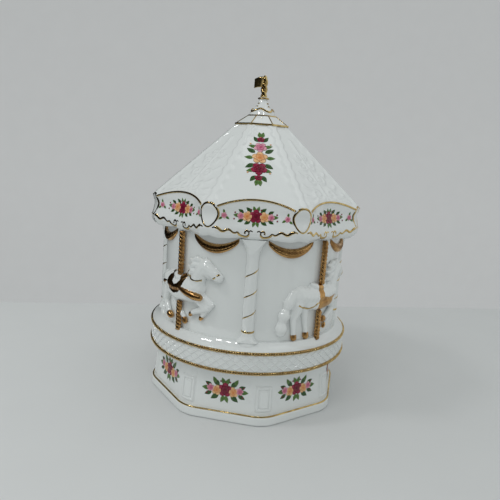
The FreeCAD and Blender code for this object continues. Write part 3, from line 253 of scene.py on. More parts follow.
def make_glaze_ripple():
    """Slow waves in the glaze (Height) and a faint drift of its tone (Tone)."""
    inputs = [("Wave Size", "Float", 90.0), ("Drift Size", "Float", 25.0)]
    outputs = [("Height", "Float"), ("Tone", "Float")]
    group, start, end = node_group("glaze_ripple", "ShaderNodeTree", inputs, outputs)
    place, waves, drift = add_nodes(group, "TexCoord", "TexNoise", "TexNoise")
    drift.inputs["Detail"].default_value = 4.0
    links = [(place, "Object", waves, "Vector"), (place, "Object", drift, "Vector")]
    links += [(start, "Wave Size", waves, "Scale"), (start, "Drift Size", drift, "Scale")]
    links += [(waves, "Fac", end, "Height"), (drift, "Fac", end, "Tone")]
    link_all(group, links)
    return group


def make_rubbed_gilding():
    """Gold that is rubbed thin in patches: its colour, and how rough it is."""
    inputs = [("Bright", "Color", (1, 1, 1, 1)), ("Rubbed", "Color", (0, 0, 0, 1))]
    inputs += [("Patch Size", "Float", 300.0), ("Polished", "Float", 0.09), ("Worn", "Float", 0.24)]
    outputs = [("Color", "Color"), ("Roughness", "Float")]
    group, start, end = node_group("rubbed_gilding", "ShaderNodeTree", inputs, outputs)
    place, patches, contrast, rough = add_nodes(group, "TexCoord", "TexNoise", "MapRange", "MapRange")
    patches.inputs["Detail"].default_value = 5.0
    contrast.inputs["From Min"].default_value = 0.38
    contrast.inputs["From Max"].default_value = 0.66
    mix = colour_mix(group)
    links = [(place, "Object", patches, "Vector"), (start, "Patch Size", patches, "Scale")]
    links += [(patches, "Fac", contrast, "Value"), (contrast, "Result", mix, "Factor")]
    links += [(start, "Bright", mix, "A"), (start, "Rubbed", mix, "B")]
    links += [(mix, "Result", end, "Color"), (contrast, "Result", rough, "Value")]
    links += [(start, "Polished", rough, "To Min"), (start, "Worn", rough, "To Max")]
    links += [(rough, "Result", end, "Roughness")]
    link_all(group, links)
    return group


GLAZE_RIPPLE = make_glaze_ripple()
RUBBED_GILDING = make_rubbed_gilding()
print("effects:", GLAZE_RIPPLE.name, RUBBED_GILDING.name)

# %% [markdown]
# A finish is a Principled shader fed by those groups. Porcelain mixes two whites by the drift. The gold
# finishes are metals, so all their look comes from what they mirror: that is why they turn nearly black
# towards a dark room and flash where they meet a lamp. Paint is a little less glossy than the glaze. A
# value stored on each petal or leaf runs it from its heart colour to its edge colour, and the drift makes
# it wander on the way.

# %% Finishes
GLAZE_BUMP = 0.4 * MM
TONE_SHARE = 0.7


def new_finish(name):
    finish = bpy.data.materials.new(name)
    finish.use_nodes = True
    return finish, finish.node_tree, finish.node_tree.nodes["Principled BSDF"]


def add_group(tree, group, **values):
    node = tree.nodes.new("ShaderNodeGroup")
    node.node_tree = group
    for label, value in values.items():
        node.inputs[label.replace("_", " ")].default_value = value
    return node


def add_ripple_bump(tree, shader, ripple, strength):
    bump = tree.nodes.new("ShaderNodeBump")
    bump.inputs["Strength"].default_value = strength
    bump.inputs["Distance"].default_value = GLAZE_BUMP
    link_all(tree, [(ripple, "Height", bump, "Height"), (bump, "Normal", shader, "Normal")])


def glazed(name, white, shade, roughness, ripple=0.25):
    finish, tree, shader = new_finish(name)
    group = add_group(tree, GLAZE_RIPPLE, Wave_Size=140.0, Drift_Size=22.0)
    mix = colour_mix(tree, white, shade)
    link_all(tree, [(group, "Tone", mix, "Factor"), (mix, "Result", shader, "Base Color")])
    add_ripple_bump(tree, shader, group, ripple)
    shader.inputs["Roughness"].default_value = roughness
    shader.inputs["IOR"].default_value = 1.5
    return finish


def gilded(name, bright, rubbed, patch_size, polished=0.09, worn=0.24):
    finish, tree, shader = new_finish(name)
    look = {"Bright": (*bright, 1), "Rubbed": (*rubbed, 1), "Patch_Size": patch_size}
    group = add_group(tree, RUBBED_GILDING, **look, Polished=polished, Worn=worn)
    shader.inputs["Metallic"].default_value = 1.0
    links = [(group, "Color", shader, "Base Color")]
    link_all(tree, links + [(group, "Roughness", shader, "Roughness")])
    return finish


def painted(name, heart, edge):
    finish, tree, shader = new_finish(name)
    group = add_group(tree, GLAZE_RIPPLE, Wave_Size=900.0, Drift_Size=700.0)
    reach, wander, total = add_nodes(tree, "Attribute", "Math", "Math")
    reach.attribute_name = "reach"
    wander.operation = "MULTIPLY_ADD"
    wander.inputs[1].default_value = TONE_SHARE
    wander.inputs[2].default_value = -TONE_SHARE / 2
    total.use_clamp = True
    mix = colour_mix(tree, heart, edge)
    links = [(group, "Tone", wander, 0), (wander, 0, total, 0)]
    links += [(reach, "Fac", total, 1), (total, 0, mix, "Factor")]
    link_all(tree, links + [(mix, "Result", shader, "Base Color")])
    shader.inputs["Roughness"].default_value = 0.22
    return finish


PORCELAIN = glazed("porcelain_glaze", (0.765, 0.79, 0.78), (0.705, 0.735, 0.73), 0.06)
PORCELAIN.node_tree.nodes["Principled BSDF"].inputs["Specular IOR Level"].default_value = 1.0
GOLD_LINE = gilded("gold_line", (0.80, 0.60, 0.26), (0.50, 0.34, 0.13), 260.0)
OLD_GOLD = gilded("old_gold", (0.64, 0.38, 0.15), (0.40, 0.21, 0.075), 190.0, 0.2, 0.42)
# Dark gold is also painted shade: on the cores of the poles and ropes, and in the flecks on the swags.
DARK_GOLD = gilded("dark_gold", (0.42, 0.23, 0.085), (0.19, 0.10, 0.04), 240.0, 0.2, 0.4)
BRASS = gilded("brass", (0.78, 0.60, 0.28), (0.60, 0.43, 0.18), 90.0)
STEEL = gilded("steel", (0.55, 0.56, 0.58), (0.38, 0.38, 0.40), 120.0)
ZINC = gilded("zinc", (0.50, 0.50, 0.51), (0.36, 0.36, 0.37), 80.0)
BOARD = glazed("board", (0.72, 0.71, 0.67), (0.62, 0.61, 0.57), 0.7, 0.6)
WINE_RED = painted("wine_red", (0.11, 0.004, 0.015), (0.36, 0.02, 0.07))
ROSE_PINK = painted("rose_pink", (0.45, 0.07, 0.16), (0.82, 0.45, 0.52))
PEACH = painted("peach", (0.62, 0.22, 0.06), (0.86, 0.60, 0.33))
LEAF_GREEN = painted("leaf_green", (0.03, 0.10, 0.02), (0.16, 0.27, 0.07))
DEEP_GREEN = painted("deep_green", (0.012, 0.045, 0.012), (0.06, 0.14, 0.035))
print("finishes:", len(bpy.data.materials))

# %% [markdown]
# The pedestal, drum, platform, pillars, cap and finial are right as they are, and so is the hidden
# movement, so they keep their frame nodes. The record's slot says what each is made of, and that picks
# the finish.

# %% Finish the frame nodes
SLOT_FINISH = {"porcelain": PORCELAIN, "gilt": OLD_GOLD, "brass": BRASS}
SLOT_FINISH |= {"steel": STEEL, "zinc": ZINC, "board": BOARD}
for part in frame["record"]["subparts"]:
    node = frame["nodes"][part["node"]]
    node.data.materials.clear()
    node.data.materials.append(SLOT_FINISH[part["material_slot"]])

# %% [markdown]
# The roof is a parasol of eight flat slopes. Its eave isn't straight: between two corners the side bows
# inwards, and where the bowed side cuts the slope it leaves a low arch. One formula gives the bowed
# outline: an arc of a circle between two corner flats. The same formula serves the valance below, the
# arch and everything painted on them, so they all agree.

# %% The bowed outline
CORNER_FLAT = 4.6 * MM
VALANCE_CORNER = [(0, -1.9), (0.11, -0.4), (0.32, 0.4), (0.5, -0.5), (0.68, -1.2), (0.85, -0.9), (1, -0.1)]
VALANCE_SIDE = [(0, 0.6), (0.11, 1.9), (0.32, 2.2), (0.5, 1.3), (0.68, 0.5), (0.85, 0.0), (1, 0.0)]
HALF_PANEL = math.radians(PANEL / 2)
ROOF_LOW_APOTHEM = EAVE_R * math.cos(HALF_PANEL)
ROOF_TOP_APOTHEM = ROOF_TOP_R * math.cos(HALF_PANEL)
ROOF_RUN = (ROOF_LOW_APOTHEM - ROOF_TOP_APOTHEM) / (ROOF_TOP_Z - EAVE_Z)


def from_panel_middle(degrees):
    """The angle from the middle of the nearest side, in radians."""
    return np.radians((np.asarray(degrees, float) + PANEL / 2) % PANEL - PANEL / 2)


def bowed_radius(off, corner_r, side_r):
    """The radius of the bowed outline at an angle off the middle of a side."""
    flat_turn = np.arctan(CORNER_FLAT / corner_r)
    end_r = corner_r / np.cos(flat_turn)
    end_x, end_y = end_r * np.sin(HALF_PANEL - flat_turn), end_r * np.cos(HALF_PANEL - flat_turn)
    sag = end_y - side_r
    bow = (end_x**2 + sag**2) / (2 * sag)
    centre = side_r + bow
    inside = np.maximum((np.cos(off) * centre) ** 2 - centre**2 + bow**2, 0)
    on_arc = np.cos(off) * centre - np.sqrt(inside)
    on_flat = corner_r / np.cos(HALF_PANEL - np.abs(off))
    return np.where(np.abs(off) > HALF_PANEL - flat_turn, on_flat, on_arc)


def valance_radius(degrees, height):
    """The radius of the valance's face at an angle and a height."""
    share = np.clip((np.asarray(height, float) - VALANCE_LOW) / (SEAM_Z - VALANCE_LOW), 0, 1)
    corner_r = EAVE_R + smooth_path(VALANCE_CORNER, share) * MM
    side_r = SIDE_R + smooth_path(VALANCE_SIDE, share) * MM
    return bowed_radius(from_panel_middle(degrees), corner_r, side_r)


def arch_height(degrees):
    """The height at which the bowed side cuts the roof's slope."""
    off = from_panel_middle(degrees)
    reach = valance_radius(degrees, SEAM_Z) * np.cos(off)
    return EAVE_Z + (ROOF_LOW_APOTHEM - reach) / ROOF_RUN


print("arch from", round(float(arch_height(19)), 4), "to", round(float(arch_height(0)), 4))

# %% [markdown]
# Every second slope carries moulded scrolls, white on white, and all ridges have a soft wavy border.
# Sculpting them by hand would take hours. Instead each scroll is a stroke with a width, and a point of
# the roof rises by how near it is to the nearest stroke. The strokes are spirals and leaves set out on
# one half and mirrored.

# %% Moulded scrolls
BORDER_WIDTH = 2.3
BORDER_WAVE = 7.5
BORDER_SWING = 0.7
BORDER_RISE, BORDER_SOFT = 0.42, 0.16
RIDGE_DIP, RIDGE_WIDE = 0.3, 0.8
SCROLL_RISE = 0.5
SCROLL_GAP, SCROLL_FADE = 0.6, 1.2
SPIRAL_CLOSE = 0.88


def spiral(middle, size, start, turns):
    """Points of a spiral that winds in to its middle."""
    t = np.linspace(0, 1, 40)
    angle = np.radians(start) + 2 * np.pi * turns * t
    reach = size * (1 - SPIRAL_CLOSE * t)
    return np.column_stack((middle[0] + reach * np.cos(angle), middle[1] + reach * np.sin(angle)))


def leaf(start, end, bend):
    """Points of a bent leaf."""
    t = np.linspace(0, 1, 18)[:, None]
    start, end = np.array(start, float), np.array(end, float)
    across = np.array((end[1] - start[1], start[0] - end[0]))
    return start + (end - start) * t + across * bend * 4 * t * (1 - t)


def scroll_strokes():
    """(points, width) of every stroke on one slope: across and up the slope, in millimetres."""
    half = [
        (spiral((5.6, 9.5), 4.6, -150, 1.3), 1.0),
        (spiral((4.6, 20.5), 3.9, -140, 1.3), 0.9),
        (spiral((3.6, 30.0), 3.0, -140, 1.3), 0.8),
        (spiral((2.7, 37.5), 2.2, -140, 1.2), 0.7),
        (leaf((9.0, 6.0), (18.5, 3.0), 0.18), 1.2),
        (leaf((8.0, 9.0), (17.0, 8.5), 0.2), 1.1),
        (leaf((7.0, 13.0), (13.8, 15.5), 0.2), 1.0),
        (leaf((6.0, 22.0), (11.2, 25.0), 0.2), 0.9),
        (leaf((4.6, 31.0), (8.4, 34.5), 0.2), 0.8),
        (leaf((0.6, 2.5), (6.0, 4.5), -0.2), 1.1),
    ]
    mirrored = [(points * np.array((-1, 1)), width) for points, width in half]
    stem = np.column_stack((np.zeros(30), np.linspace(2, 47, 30)))
    return half + mirrored + [(stem, 0.8), (leaf((0, 42), (0, 50), 0.0), 1.3)]


def roof_relief(across, up, half_width, scrolled):
    """How far the roof rises at places given in millimetres across and up a slope."""
    edge = half_width - np.abs(across)
    border = BORDER_WIDTH + BORDER_SWING * np.sin(2 * np.pi * up / BORDER_WAVE)
    rise = BORDER_RISE / (1 + np.exp((edge - border) / BORDER_SOFT))
    rise -= RIDGE_DIP * np.exp(-((edge / RIDGE_WIDE) ** 2))
    shape = np.zeros_like(across)
    for points, width in scroll_strokes():
        far = np.full(across.shape, 1e9)
        for (ax, ay), (bx, by) in zip(points, points[1:]):
            length = (bx - ax) ** 2 + (by - ay) ** 2 + 1e-9
            t = np.clip(((across - ax) * (bx - ax) + (up - ay) * (by - ay)) / length, 0, 1)
            far = np.minimum(far, (across - ax - t * (bx - ax)) ** 2 + (up - ay - t * (by - ay)) ** 2)
        shape = np.maximum(shape, np.exp(-far / width**2))
    inside = np.clip((edge - BORDER_WIDTH - SCROLL_GAP) / SCROLL_FADE, 0, 1)
    return rise + np.where(scrolled, SCROLL_RISE * shape * inside, 0)


print("strokes on a scrolled slope:", len(scroll_strokes()))

# %% [markdown]
# The roof itself is a shell laid out in rings: up the outside from the arch to the cap, over the top edge
# and down the inside. Each point starts on the flat slope and is lifted along the slope's own normal by
# the relief.

# %% Roof
ROOF_COLUMNS = SIDES * 56
ROOF_RINGS = 104
ROOF_WALL = 3.5 * MM
FADE_LOW, FADE_TOP, FADE_LEAST = 0.03, 0.02, 0.1


def make_roof():
    angles = np.arange(ROOF_COLUMNS) * 360.0 / ROOF_COLUMNS
    off = from_panel_middle(angles)
    middle = np.floor(angles / PANEL + 0.5) * PANEL
    low = arch_height(angles)
    tilt = math.atan2(1, ROOF_RUN)
    rings = []
    for share in np.linspace(0, 1, ROOF_RINGS):
        height = low + (ROOF_TOP_Z - low) * share
        apothem = ROOF_LOW_APOTHEM - (height - EAVE_Z) * ROOF_RUN
        across = apothem * np.tan(off)
        up = (height - EAVE_Z) / math.sin(tilt)
        half_width = apothem * math.tan(HALF_PANEL)
        scrolled = np.round(middle / PANEL) % 2 == 1
        rise = roof_relief(across / MM, up / MM, half_width / MM, scrolled) * MM
        rise = rise * min(1.0, share / FADE_LOW, (1 - share) / FADE_TOP + FADE_LEAST)
        outward = apothem + rise * math.sin(tilt)
        lifted = height + rise * math.cos(tilt)
        turned = np.radians(middle + CAROUSEL_TURN)
        x = outward * np.sin(turned) + across * np.cos(turned)
        y = across * np.sin(turned) - outward * np.cos(turned)
        rings.append(np.column_stack((x, y, lifted)))
    inner = [(ROOF_TOP_R - 2 * ROOF_WALL, ROOF_TOP_Z)]
    inner += [(DRUM_R - ROOF_WALL, SEAM_Z + ROOF_WALL), (DRUM_R, SEAM_Z)]
    for radius, height in inner:
        rings.append(np.array([around(radius, a, height) for a in angles]))
    points = np.concatenate(rings)
    faces = grid_faces(len(rings), ROOF_COLUMNS, close_rows=True)
    piece = new_piece("roof_slopes", points, faces, [PORCELAIN])
    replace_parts(piece, "roof")
    return piece


print("roof faces:", len(make_roof().data.polygons))

# %% [markdown]
# The valance hangs from the eave: a hollow face between a flared lower edge and the arch, with three
# lobes under every side. It is another ring of points from the outline formula, closed round its back
# against the drum.

# %% Valance
VALANCE_COLUMNS = SIDES * 48
VALANCE_RINGS = 40
SCALLOP = 0.9 * MM
LIP_IN, LIP_DOWN = 1.2 * MM, 0.4 * MM


def valance_edge(degrees):
    """The height of the scalloped lower edge."""
    lobe = from_panel_middle(degrees) / HALF_PANEL * 1.5
    return VALANCE_LOW + SCALLOP * (2 * np.abs(lobe - np.round(lobe))) ** 2


def valance_face(degrees, height):
    """The radius of the hanging face, from its scalloped edge to the arch."""
    low, high = valance_edge(degrees), arch_height(degrees)
    return valance_radius(degrees, VALANCE_LOW + (height - low) * (high - VALANCE_LOW) / (high - low))


def make_valance():
    angles = np.arange(VALANCE_COLUMNS) * 360.0 / VALANCE_COLUMNS
    low, high = valance_edge(angles), arch_height(angles)
    turned = np.radians(angles + CAROUSEL_TURN)
    rings = []

    def ring(radius, height):
        rings.append(np.column_stack((radius * np.sin(turned), -radius * np.cos(turned), height)))

    ring(np.full_like(angles, DRUM_R), low)
    for share in np.linspace(0, 1, VALANCE_RINGS):
        height = low + (high - low) * share
        ring(valance_face(angles, height), height)
    ring(valance_radius(angles, SEAM_Z) - LIP_IN, high - LIP_DOWN)
    ring(np.full_like(angles, DRUM_R), np.full_like(angles, SEAM_Z))
    faces = grid_faces(len(rings), VALANCE_COLUMNS, close_rows=True)
    piece = new_piece("valance_skirt", np.concatenate(rings), faces, [PORCELAIN])
    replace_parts(piece, "valance")
    return piece


print("valance faces:", len(make_valance().data.polygons))

# %% [markdown]
# Gilt lines are drawn on the glaze with a fine brush and fired a third time, so they stand a hair proud.
# Each is a path with a width. A Geometry Nodes group turns all paths of a piece into tubes at once: edges
# become curves, the curves are resampled evenly and a round profile runs along them, scaled by the width
# stored on each point. The paths lie a little under the surface, so only a low ridge shows.


# %% A brush for lines
def stored_value(tree, name, kind):
    """A node that reads a value stored on the points."""
    node = add_nodes(tree, "InputNamedAttribute")[0]
    node.data_type = kind
    node.inputs["Name"].default_value = name
    return node


def brush_group():
    inputs = [("Geometry", "Geometry", None), ("Spacing", "Float", 0.4 * MM), ("Sides", "Int", 8)]
    inputs += [("Finish", "Material", None)]
    tree, start, end = node_group("brush_line", "GeometryNodeTree", inputs, [("Geometry", "Geometry")])
    curve, even, profile = add_nodes(tree, "MeshToCurve", "ResampleCurve", "CurvePrimitiveCircle")
    tube, real, finish = add_nodes(tree, "CurveToMesh", "RealizeInstances", "SetMaterial")
    even.mode = "LENGTH"
    profile.inputs["Radius"].default_value = 1.0
    width = stored_value(tree, "stroke", "FLOAT")
    tube.inputs["Fill Caps"].default_value = True
    links = [(start, "Geometry", curve, "Mesh"), (curve, "Curve", even, "Curve")]
    links += [(start, "Spacing", even, "Length"), (start, "Sides", profile, "Resolution")]
    links += [(even, "Curve", tube, "Curve"), (profile, "Curve", tube, "Profile Curve")]
    links += [(width, "Attribute", tube, "Scale"), (tube, "Mesh", real, "Geometry")]
    links += [(real, "Geometry", finish, "Geometry"), (start, "Finish", finish, "Material")]
    link_all(tree, links + [(finish, "Geometry", end, "Geometry")])
    return tree


def node_modifier(piece, tree, **values):
    """Put a node tree on a piece and set its named inputs."""
    modifier = piece.modifiers.new("nodes", "NODES")
    modifier.node_group = tree
    sockets = {item.name: item.identifier for item in tree.interface.items_tree if item.in_out == "INPUT"}
    for label, value in values.items():
        modifier[sockets[label]] = value


def evaluated_mesh(piece):
    """The finished mesh of a piece with modifiers; the piece itself goes away."""
    result = piece.evaluated_get(bpy.context.evaluated_depsgraph_get())
    mesh = bpy.data.meshes.new_from_object(result)
    bpy.data.objects.remove(piece)
    return mesh


BRUSH_LINE = brush_group()


def brush(name, paths, finish, spacing=0.4, sides=8, body="carousel"):
    """Tubes along (points, radius in millimetres, closed) paths, as one piece."""
    points, edges, widths = [], [], []
    for path, radius, closed in paths:
        first, count = len(points), len(path)
        points += [tuple(p) for p in path]
        edges += [(first + i, first + i + 1) for i in range(count - 1)]
        edges += [(first + count - 1, first)] if closed else []
        widths += list(np.broadcast_to(np.asarray(radius, float) * MM, (count,)))
    mesh = bpy.data.meshes.new(name + "_paths")
    mesh.from_pydata(points, edges, [])
    store(mesh, "stroke", "FLOAT", "value", widths)
    raw = add_object(name + "_paths", mesh)
    node_modifier(raw, BRUSH_LINE, Spacing=spacing * MM, Sides=sides, Finish=finish)
    return dress(name, evaluated_mesh(raw), [finish], body)


print("brush inputs:", [item.name for item in BRUSH_LINE.interface.items_tree if item.in_out == "INPUT"])

# %% [markdown]
# On every corner of the eave sits an oval medallion, wide above and pointed below. It is a low pillow:
# rings of an egg-shaped outline that close towards its middle, laid on the valance by the same formula as
# everything else.

# %% Medallions
EGG_WIDE, EGG_HIGH, EGG_Z = 4.75, 6.2, 119.3
EGG_POINT = 0.18
EGG_COLUMNS = 40
EGG_RINGS = ((1.0, -0.8), (1.0, 0.0), (0.93, 0.16), (0.7, 0.2), (0.4, 0.22), (0.1, 0.24))
CORNERS = [PANEL * (k + 0.5) for k in range(SIDES)]


def egg(size, turns):
    """Points of the egg outline: across and up, in millimetres."""
    across = EGG_WIDE * size * np.cos(turns) * (1 + EGG_POINT * np.sin(turns))
    return np.column_stack((across, EGG_HIGH * size * np.sin(turns)))


def on_valance(middle, across, height, lift):
    """Points on the valance's face: millimetres across from an angle, up from the table and off the face."""
    across, height = np.asarray(across, float) * MM, np.asarray(height, float) * MM
    off = np.arctan(across / EAVE_R)
    for _ in range(4):
        off = np.arcsin(across / valance_face(middle + np.degrees(off), height))
    radius = valance_face(middle + np.degrees(off), height) + np.asarray(lift, float) * MM
    turned = np.radians(middle + CAROUSEL_TURN) + off
    return np.column_stack((radius * np.sin(turned), -radius * np.cos(turned), height))


def make_medallions():
    turns = np.linspace(0, 2 * np.pi, EGG_COLUMNS, endpoint=False)
    points, faces = [], []
    for corner in CORNERS:
        first = len(points)
        for size, lift in EGG_RINGS:
            outline = egg(size, turns)
            points += list(on_valance(corner, outline[:, 0], EGG_Z + outline[:, 1], lift))
        faces += shifted(closed_rings(len(EGG_RINGS), EGG_COLUMNS), first)
    piece = new_piece("medallion_ovals", points, faces, [PORCELAIN])
    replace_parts(piece, "medallions")
    return piece


print("medallion faces:", len(make_medallions().data.polygons))

# %% [markdown]
# The lines on the eave: along each arch from medallion to medallion, round every medallion, and a scroll
# above the scalloped edge that starts in small waves at the corners and ends in two curls, with a gap
# between them.

# %% Lines on the eave
EDGE_LINE = 0.58
BRUSH_R = 1.3
BRUSH_SINK = -1.18
EGG_BRUSH, EGG_SINK = 0.9, -0.68
ARCH_HALF, ARCH_IN, ARCH_DOWN = 18.3, 0.1 * MM, 0.15 * MM
WAVE_START, WAVE_END, WAVE_Z = -22.6, -9.5, 111.4
WAVE_RISE, WAVE_SWING, WAVE_RATE = 0.008, 0.6, 0.96
CURL = [(-9.5, 111.4), (-8.0, 110.0), (-5.0, 109.3), (-3.5, 110.0)]
CURL += [(-3.1, 111.2), (-4.3, 112.1), (-5.6, 111.5), (-5.2, 110.7)]
CURL_TAIL = [(-3.2, 111.6), (-2.3, 112.2), (-1.2, 111.7)]


def rounded(stops, steps=12):
    """A smooth curve through points."""
    stops = np.array(stops, float)
    places = np.arange(len(stops))
    t = np.linspace(0, len(stops) - 1, steps * (len(stops) - 1) + 1)
    return np.column_stack([smooth_path(list(zip(places, stops[:, k])), t) for k in range(stops.shape[1])])


def eave_lines():
    paths = []
    for k in range(SIDES):
        middle, corner = k * PANEL, CORNERS[k]
        angles = middle + np.linspace(-ARCH_HALF, ARCH_HALF, 60)
        radius, height = valance_radius(angles, SEAM_Z) - ARCH_IN, arch_height(angles) - ARCH_DOWN
        turned = np.radians(angles + CAROUSEL_TURN)
        arch = np.column_stack((radius * np.sin(turned), -radius * np.cos(turned), height))
        paths.append((arch, EDGE_LINE, False))
        outline = egg(1.0, np.linspace(0, 2 * np.pi, 48, endpoint=False))
        paths.append((on_valance(corner, outline[:, 0], EGG_Z + outline[:, 1], EGG_SINK), EGG_BRUSH, True))
        wave = np.linspace(WAVE_START, WAVE_END, 50)
        left = wave - WAVE_END
        run = np.column_stack((wave, WAVE_Z + WAVE_RISE * left**2 + WAVE_SWING * np.sin(left * WAVE_RATE)))
        for stroke in (run, rounded(CURL), rounded(CURL_TAIL)):
            for mirror in (-1, 1):
                line = on_valance(middle, mirror * stroke[:, 0], stroke[:, 1], BRUSH_SINK)
                paths.append((line, BRUSH_R, False))
    return paths


print("eave lines:", len(brush("eave_gilding", eave_lines(), GOLD_LINE).data.polygons), "faces")

# %% [markdown]
# Each pillar is wound with a gilt ribbon, rising to the right, and has a ring above its foot. The cap
# under the finial is edged in gilt too, along its two rims and eight ridges, and the finial carries a
# wavy ring, columns of dots and a collar.

# %% Lines on pillars, cap and finial
PILLAR_R = 3.5 * MM
PILLAR_AXIS = DRUM_R - 0.6 * MM
RIBBON_PITCH = 11.9
RIBBON_FRONTS = (88.4, 76.6, 64.7)
RIBBON_HALF, RIBBON_SINK, RIBBON_R = 84, 0.75 * MM, 0.88
RING_HALF, RING_SINK, RING_R, RING_Z = 82, 0.6 * MM, 0.9, 54.9 * MM
CAP_R, CAP_TOP_R = 17.4 * MM, 9.3 * MM
SKIRT_R, SKIRT_Z, NECK_R = 7.7 * MM, CAP_TOP_Z + 2.2 * MM, 2.6 * MM
LOW_RIM_LINE, HIGH_RIM_LINE, CAP_RIDGE_LINE = 0.58, 0.46, 0.32
WAVY_UP, WAVY_SWING, WAVY_TURN, WAVY_LINE = 1.2, 0.9, 146, 0.62
COLLAR_OFF, COLLAR_DOWN, COLLAR_LINE = 0.45 * MM, 0.7 * MM, 0.5
DOT_HEIGHTS, DOT_RADII = (3.6, 5.4), (0.3, 0.75, 0.3)


def on_pillar(degrees, sink, turns, heights):
    """Points on the front of a pillar, at turns from its middle."""
    out = PILLAR_AXIS + (PILLAR_R - sink) * np.cos(turns)
    side = np.degrees(np.arctan2((PILLAR_R - sink) * np.sin(turns), out))
    return [around(o, degrees + s, h) for o, s, h in zip(out, side, heights)]


def pillar_paths():
    ribbon = np.radians(np.linspace(-RIBBON_HALF, RIBBON_HALF, 40))
    ring = np.radians(np.linspace(-RING_HALF, RING_HALF, 30))
    paths = []
    for k in range(4):
        for front in RIBBON_FRONTS:
            heights = front * MM + RIBBON_PITCH * MM * ribbon / (2 * np.pi)
            paths.append((on_pillar(90 * k, RIBBON_SINK, ribbon, heights), RIBBON_R, False))
        line = on_pillar(90 * k, RING_SINK, ring, np.full_like(ring, RING_Z))
        paths.append((line, RING_R, False))
    return paths


def finial_radius(height):
    """The finial's outside between its skirt and its neck."""
    share = (height - SKIRT_Z) / (FINIAL_TOP_Z - 1.4 * MM - SKIRT_Z)
    return smooth_path([(0, SKIRT_R / MM), (0.5, 4.6), (1, NECK_R / MM)], np.asarray(share, float)) * MM


def crown_paths():
    low = [around(CAP_R - 0.1 * MM, c, ROOF_TOP_Z + 0.15 * MM) for c in CORNERS]
    high = [around(CAP_TOP_R - 0.05 * MM, c, CAP_TOP_Z) for c in CORNERS]
    paths = [(low, LOW_RIM_LINE, True), (high, HIGH_RIM_LINE, True)]
    paths += [([a, b], CAP_RIDGE_LINE, False) for a, b in zip(low, high)]
    turns = np.linspace(0, 360, 160, endpoint=False)
    heights = SKIRT_Z + (WAVY_UP + WAVY_SWING * np.sin(np.radians(4 * turns + WAVY_TURN))) * MM
    paths.append(([around(finial_radius(h), a, h) for a, h in zip(turns, heights)], WAVY_LINE, True))
    collar = [around(NECK_R + COLLAR_OFF, a, FINIAL_TOP_Z - COLLAR_DOWN) for a in turns[::4]]
    paths.append((collar, COLLAR_LINE, True))
    for k in range(4):
        for up in DOT_HEIGHTS:
            height = SKIRT_Z + up * MM
            dot = [around(finial_radius(height), 90 * k + 45, height + d * MM) for d in (-0.4, 0.0, 0.4)]
            paths.append((dot, DOT_RADII, False))
    return paths


print("pillar ribbons:", len(brush("pillar_ribbons", pillar_paths(), GOLD_LINE).data.polygons), "faces")
print("crown lines:", len(brush("crown_gilding", crown_paths(), GOLD_LINE, 0.3).data.polygons), "faces")

# %% [markdown]
# The four horses are moulded in half relief. A sculptor would press them up from rolls of clay, and so
# does this cell: each limb is a chain of stops with a place and a thickness, strung with balls. A voxel
# remesh melts the balls into one skin and smoothing takes away its grain. All this happens flat, as if
# the drum were unrolled (along the wall, off the wall, up), and only the finished relief is bent round
# the drum.

# %% Limbs of the horses
BODY_LIMBS = [
    [(-13.8, 26, -1.6, 6.6), (-3, 24.8, -0.8, 6.4), (11.4, 26.4, -1.4, 6.8)],
    [(-9.0, 22.0, -0.2, 5.0), (-1.0, 21.2, 0.4, 5.0), (8.0, 22.0, -0.2, 5.2)],
    [(11.6, 29.4, -0.8, 5.6), (14.4, 36.4, -0.2, 4.7), (17.4, 39.8, 0.4, 4.3)]
    + [(21.6, 37.6, 0.9, 3.6), (25.6, 34.8, 1.1, 3.0)],
    [(18.0, 37.6, 0.4, 3.8), (20.6, 35.6, 0.6, 2.9)],
    [(17.2, 42.4, 0.9, 1.3), (17.8, 45.0, 1.2, 0.5)],
    [(15.4, 42.6, 0.8, 1.6), (11.6, 43.4, 1.2, 1.7), (8.6, 41.8, 1.2, 1.4), (6.6, 42.6, 1.0, 0.8)],
    [(14.2, 40.2, 1.0, 1.8), (10.2, 40.0, 1.8, 1.8), (7.2, 38.0, 1.4, 1.4), (5.2, 38.6, 1.0, 0.8)],
    [(13.0, 37.0, 1.2, 1.9), (9.2, 36.2, 1.8, 1.7), (6.4, 34.0, 1.4, 1.3), (4.6, 34.6, 1.0, 0.8)],
    [(16.8, 42.8, 1.2, 1.5), (19.4, 43.2, 1.4, 1.2), (21.2, 41.4, 1.3, 0.8)],
    [(12.4, 40.4, -0.4, 2.8), (9.0, 38.6, -0.7, 2.6), (8.2, 35.6, -0.8, 2.4), (9.6, 32.6, -0.8, 2.6)],
    [(-6.4, 32.0, 0.8, 1.7), (-2.0, 30.2, 1.8, 2.4), (1.4, 30.4, 1.8, 2.1), (3.8, 32.4, 0.8, 1.4)],
]
FLOWING_TAIL = [
    [(-19.6, 28.6, 0, 2.2), (-23.6, 24.6, 0.2, 2.7), (-25.2, 16.6, 0.2, 2.8), (-24.4, 9.6, 0.2, 2.2)],
]
BUNCHED_TAIL = [
    [(-18.4, 27.6, 0, 2.9), (-21.2, 22.6, 0.2, 3.6), (-21.6, 21.0, 0.2, 3.1)],
    [(-23.2, 17.2, 0.2, 3.0), (-23.7, 15.2, 0.3, 3.7), (-24.0, 13.4, 0.2, 3.1)],
    [(-24.6, 9.8, 0.2, 3.0), (-24.8, 7.6, 0.3, 3.8), (-24.8, 5.8, 0.2, 3.2)],
]
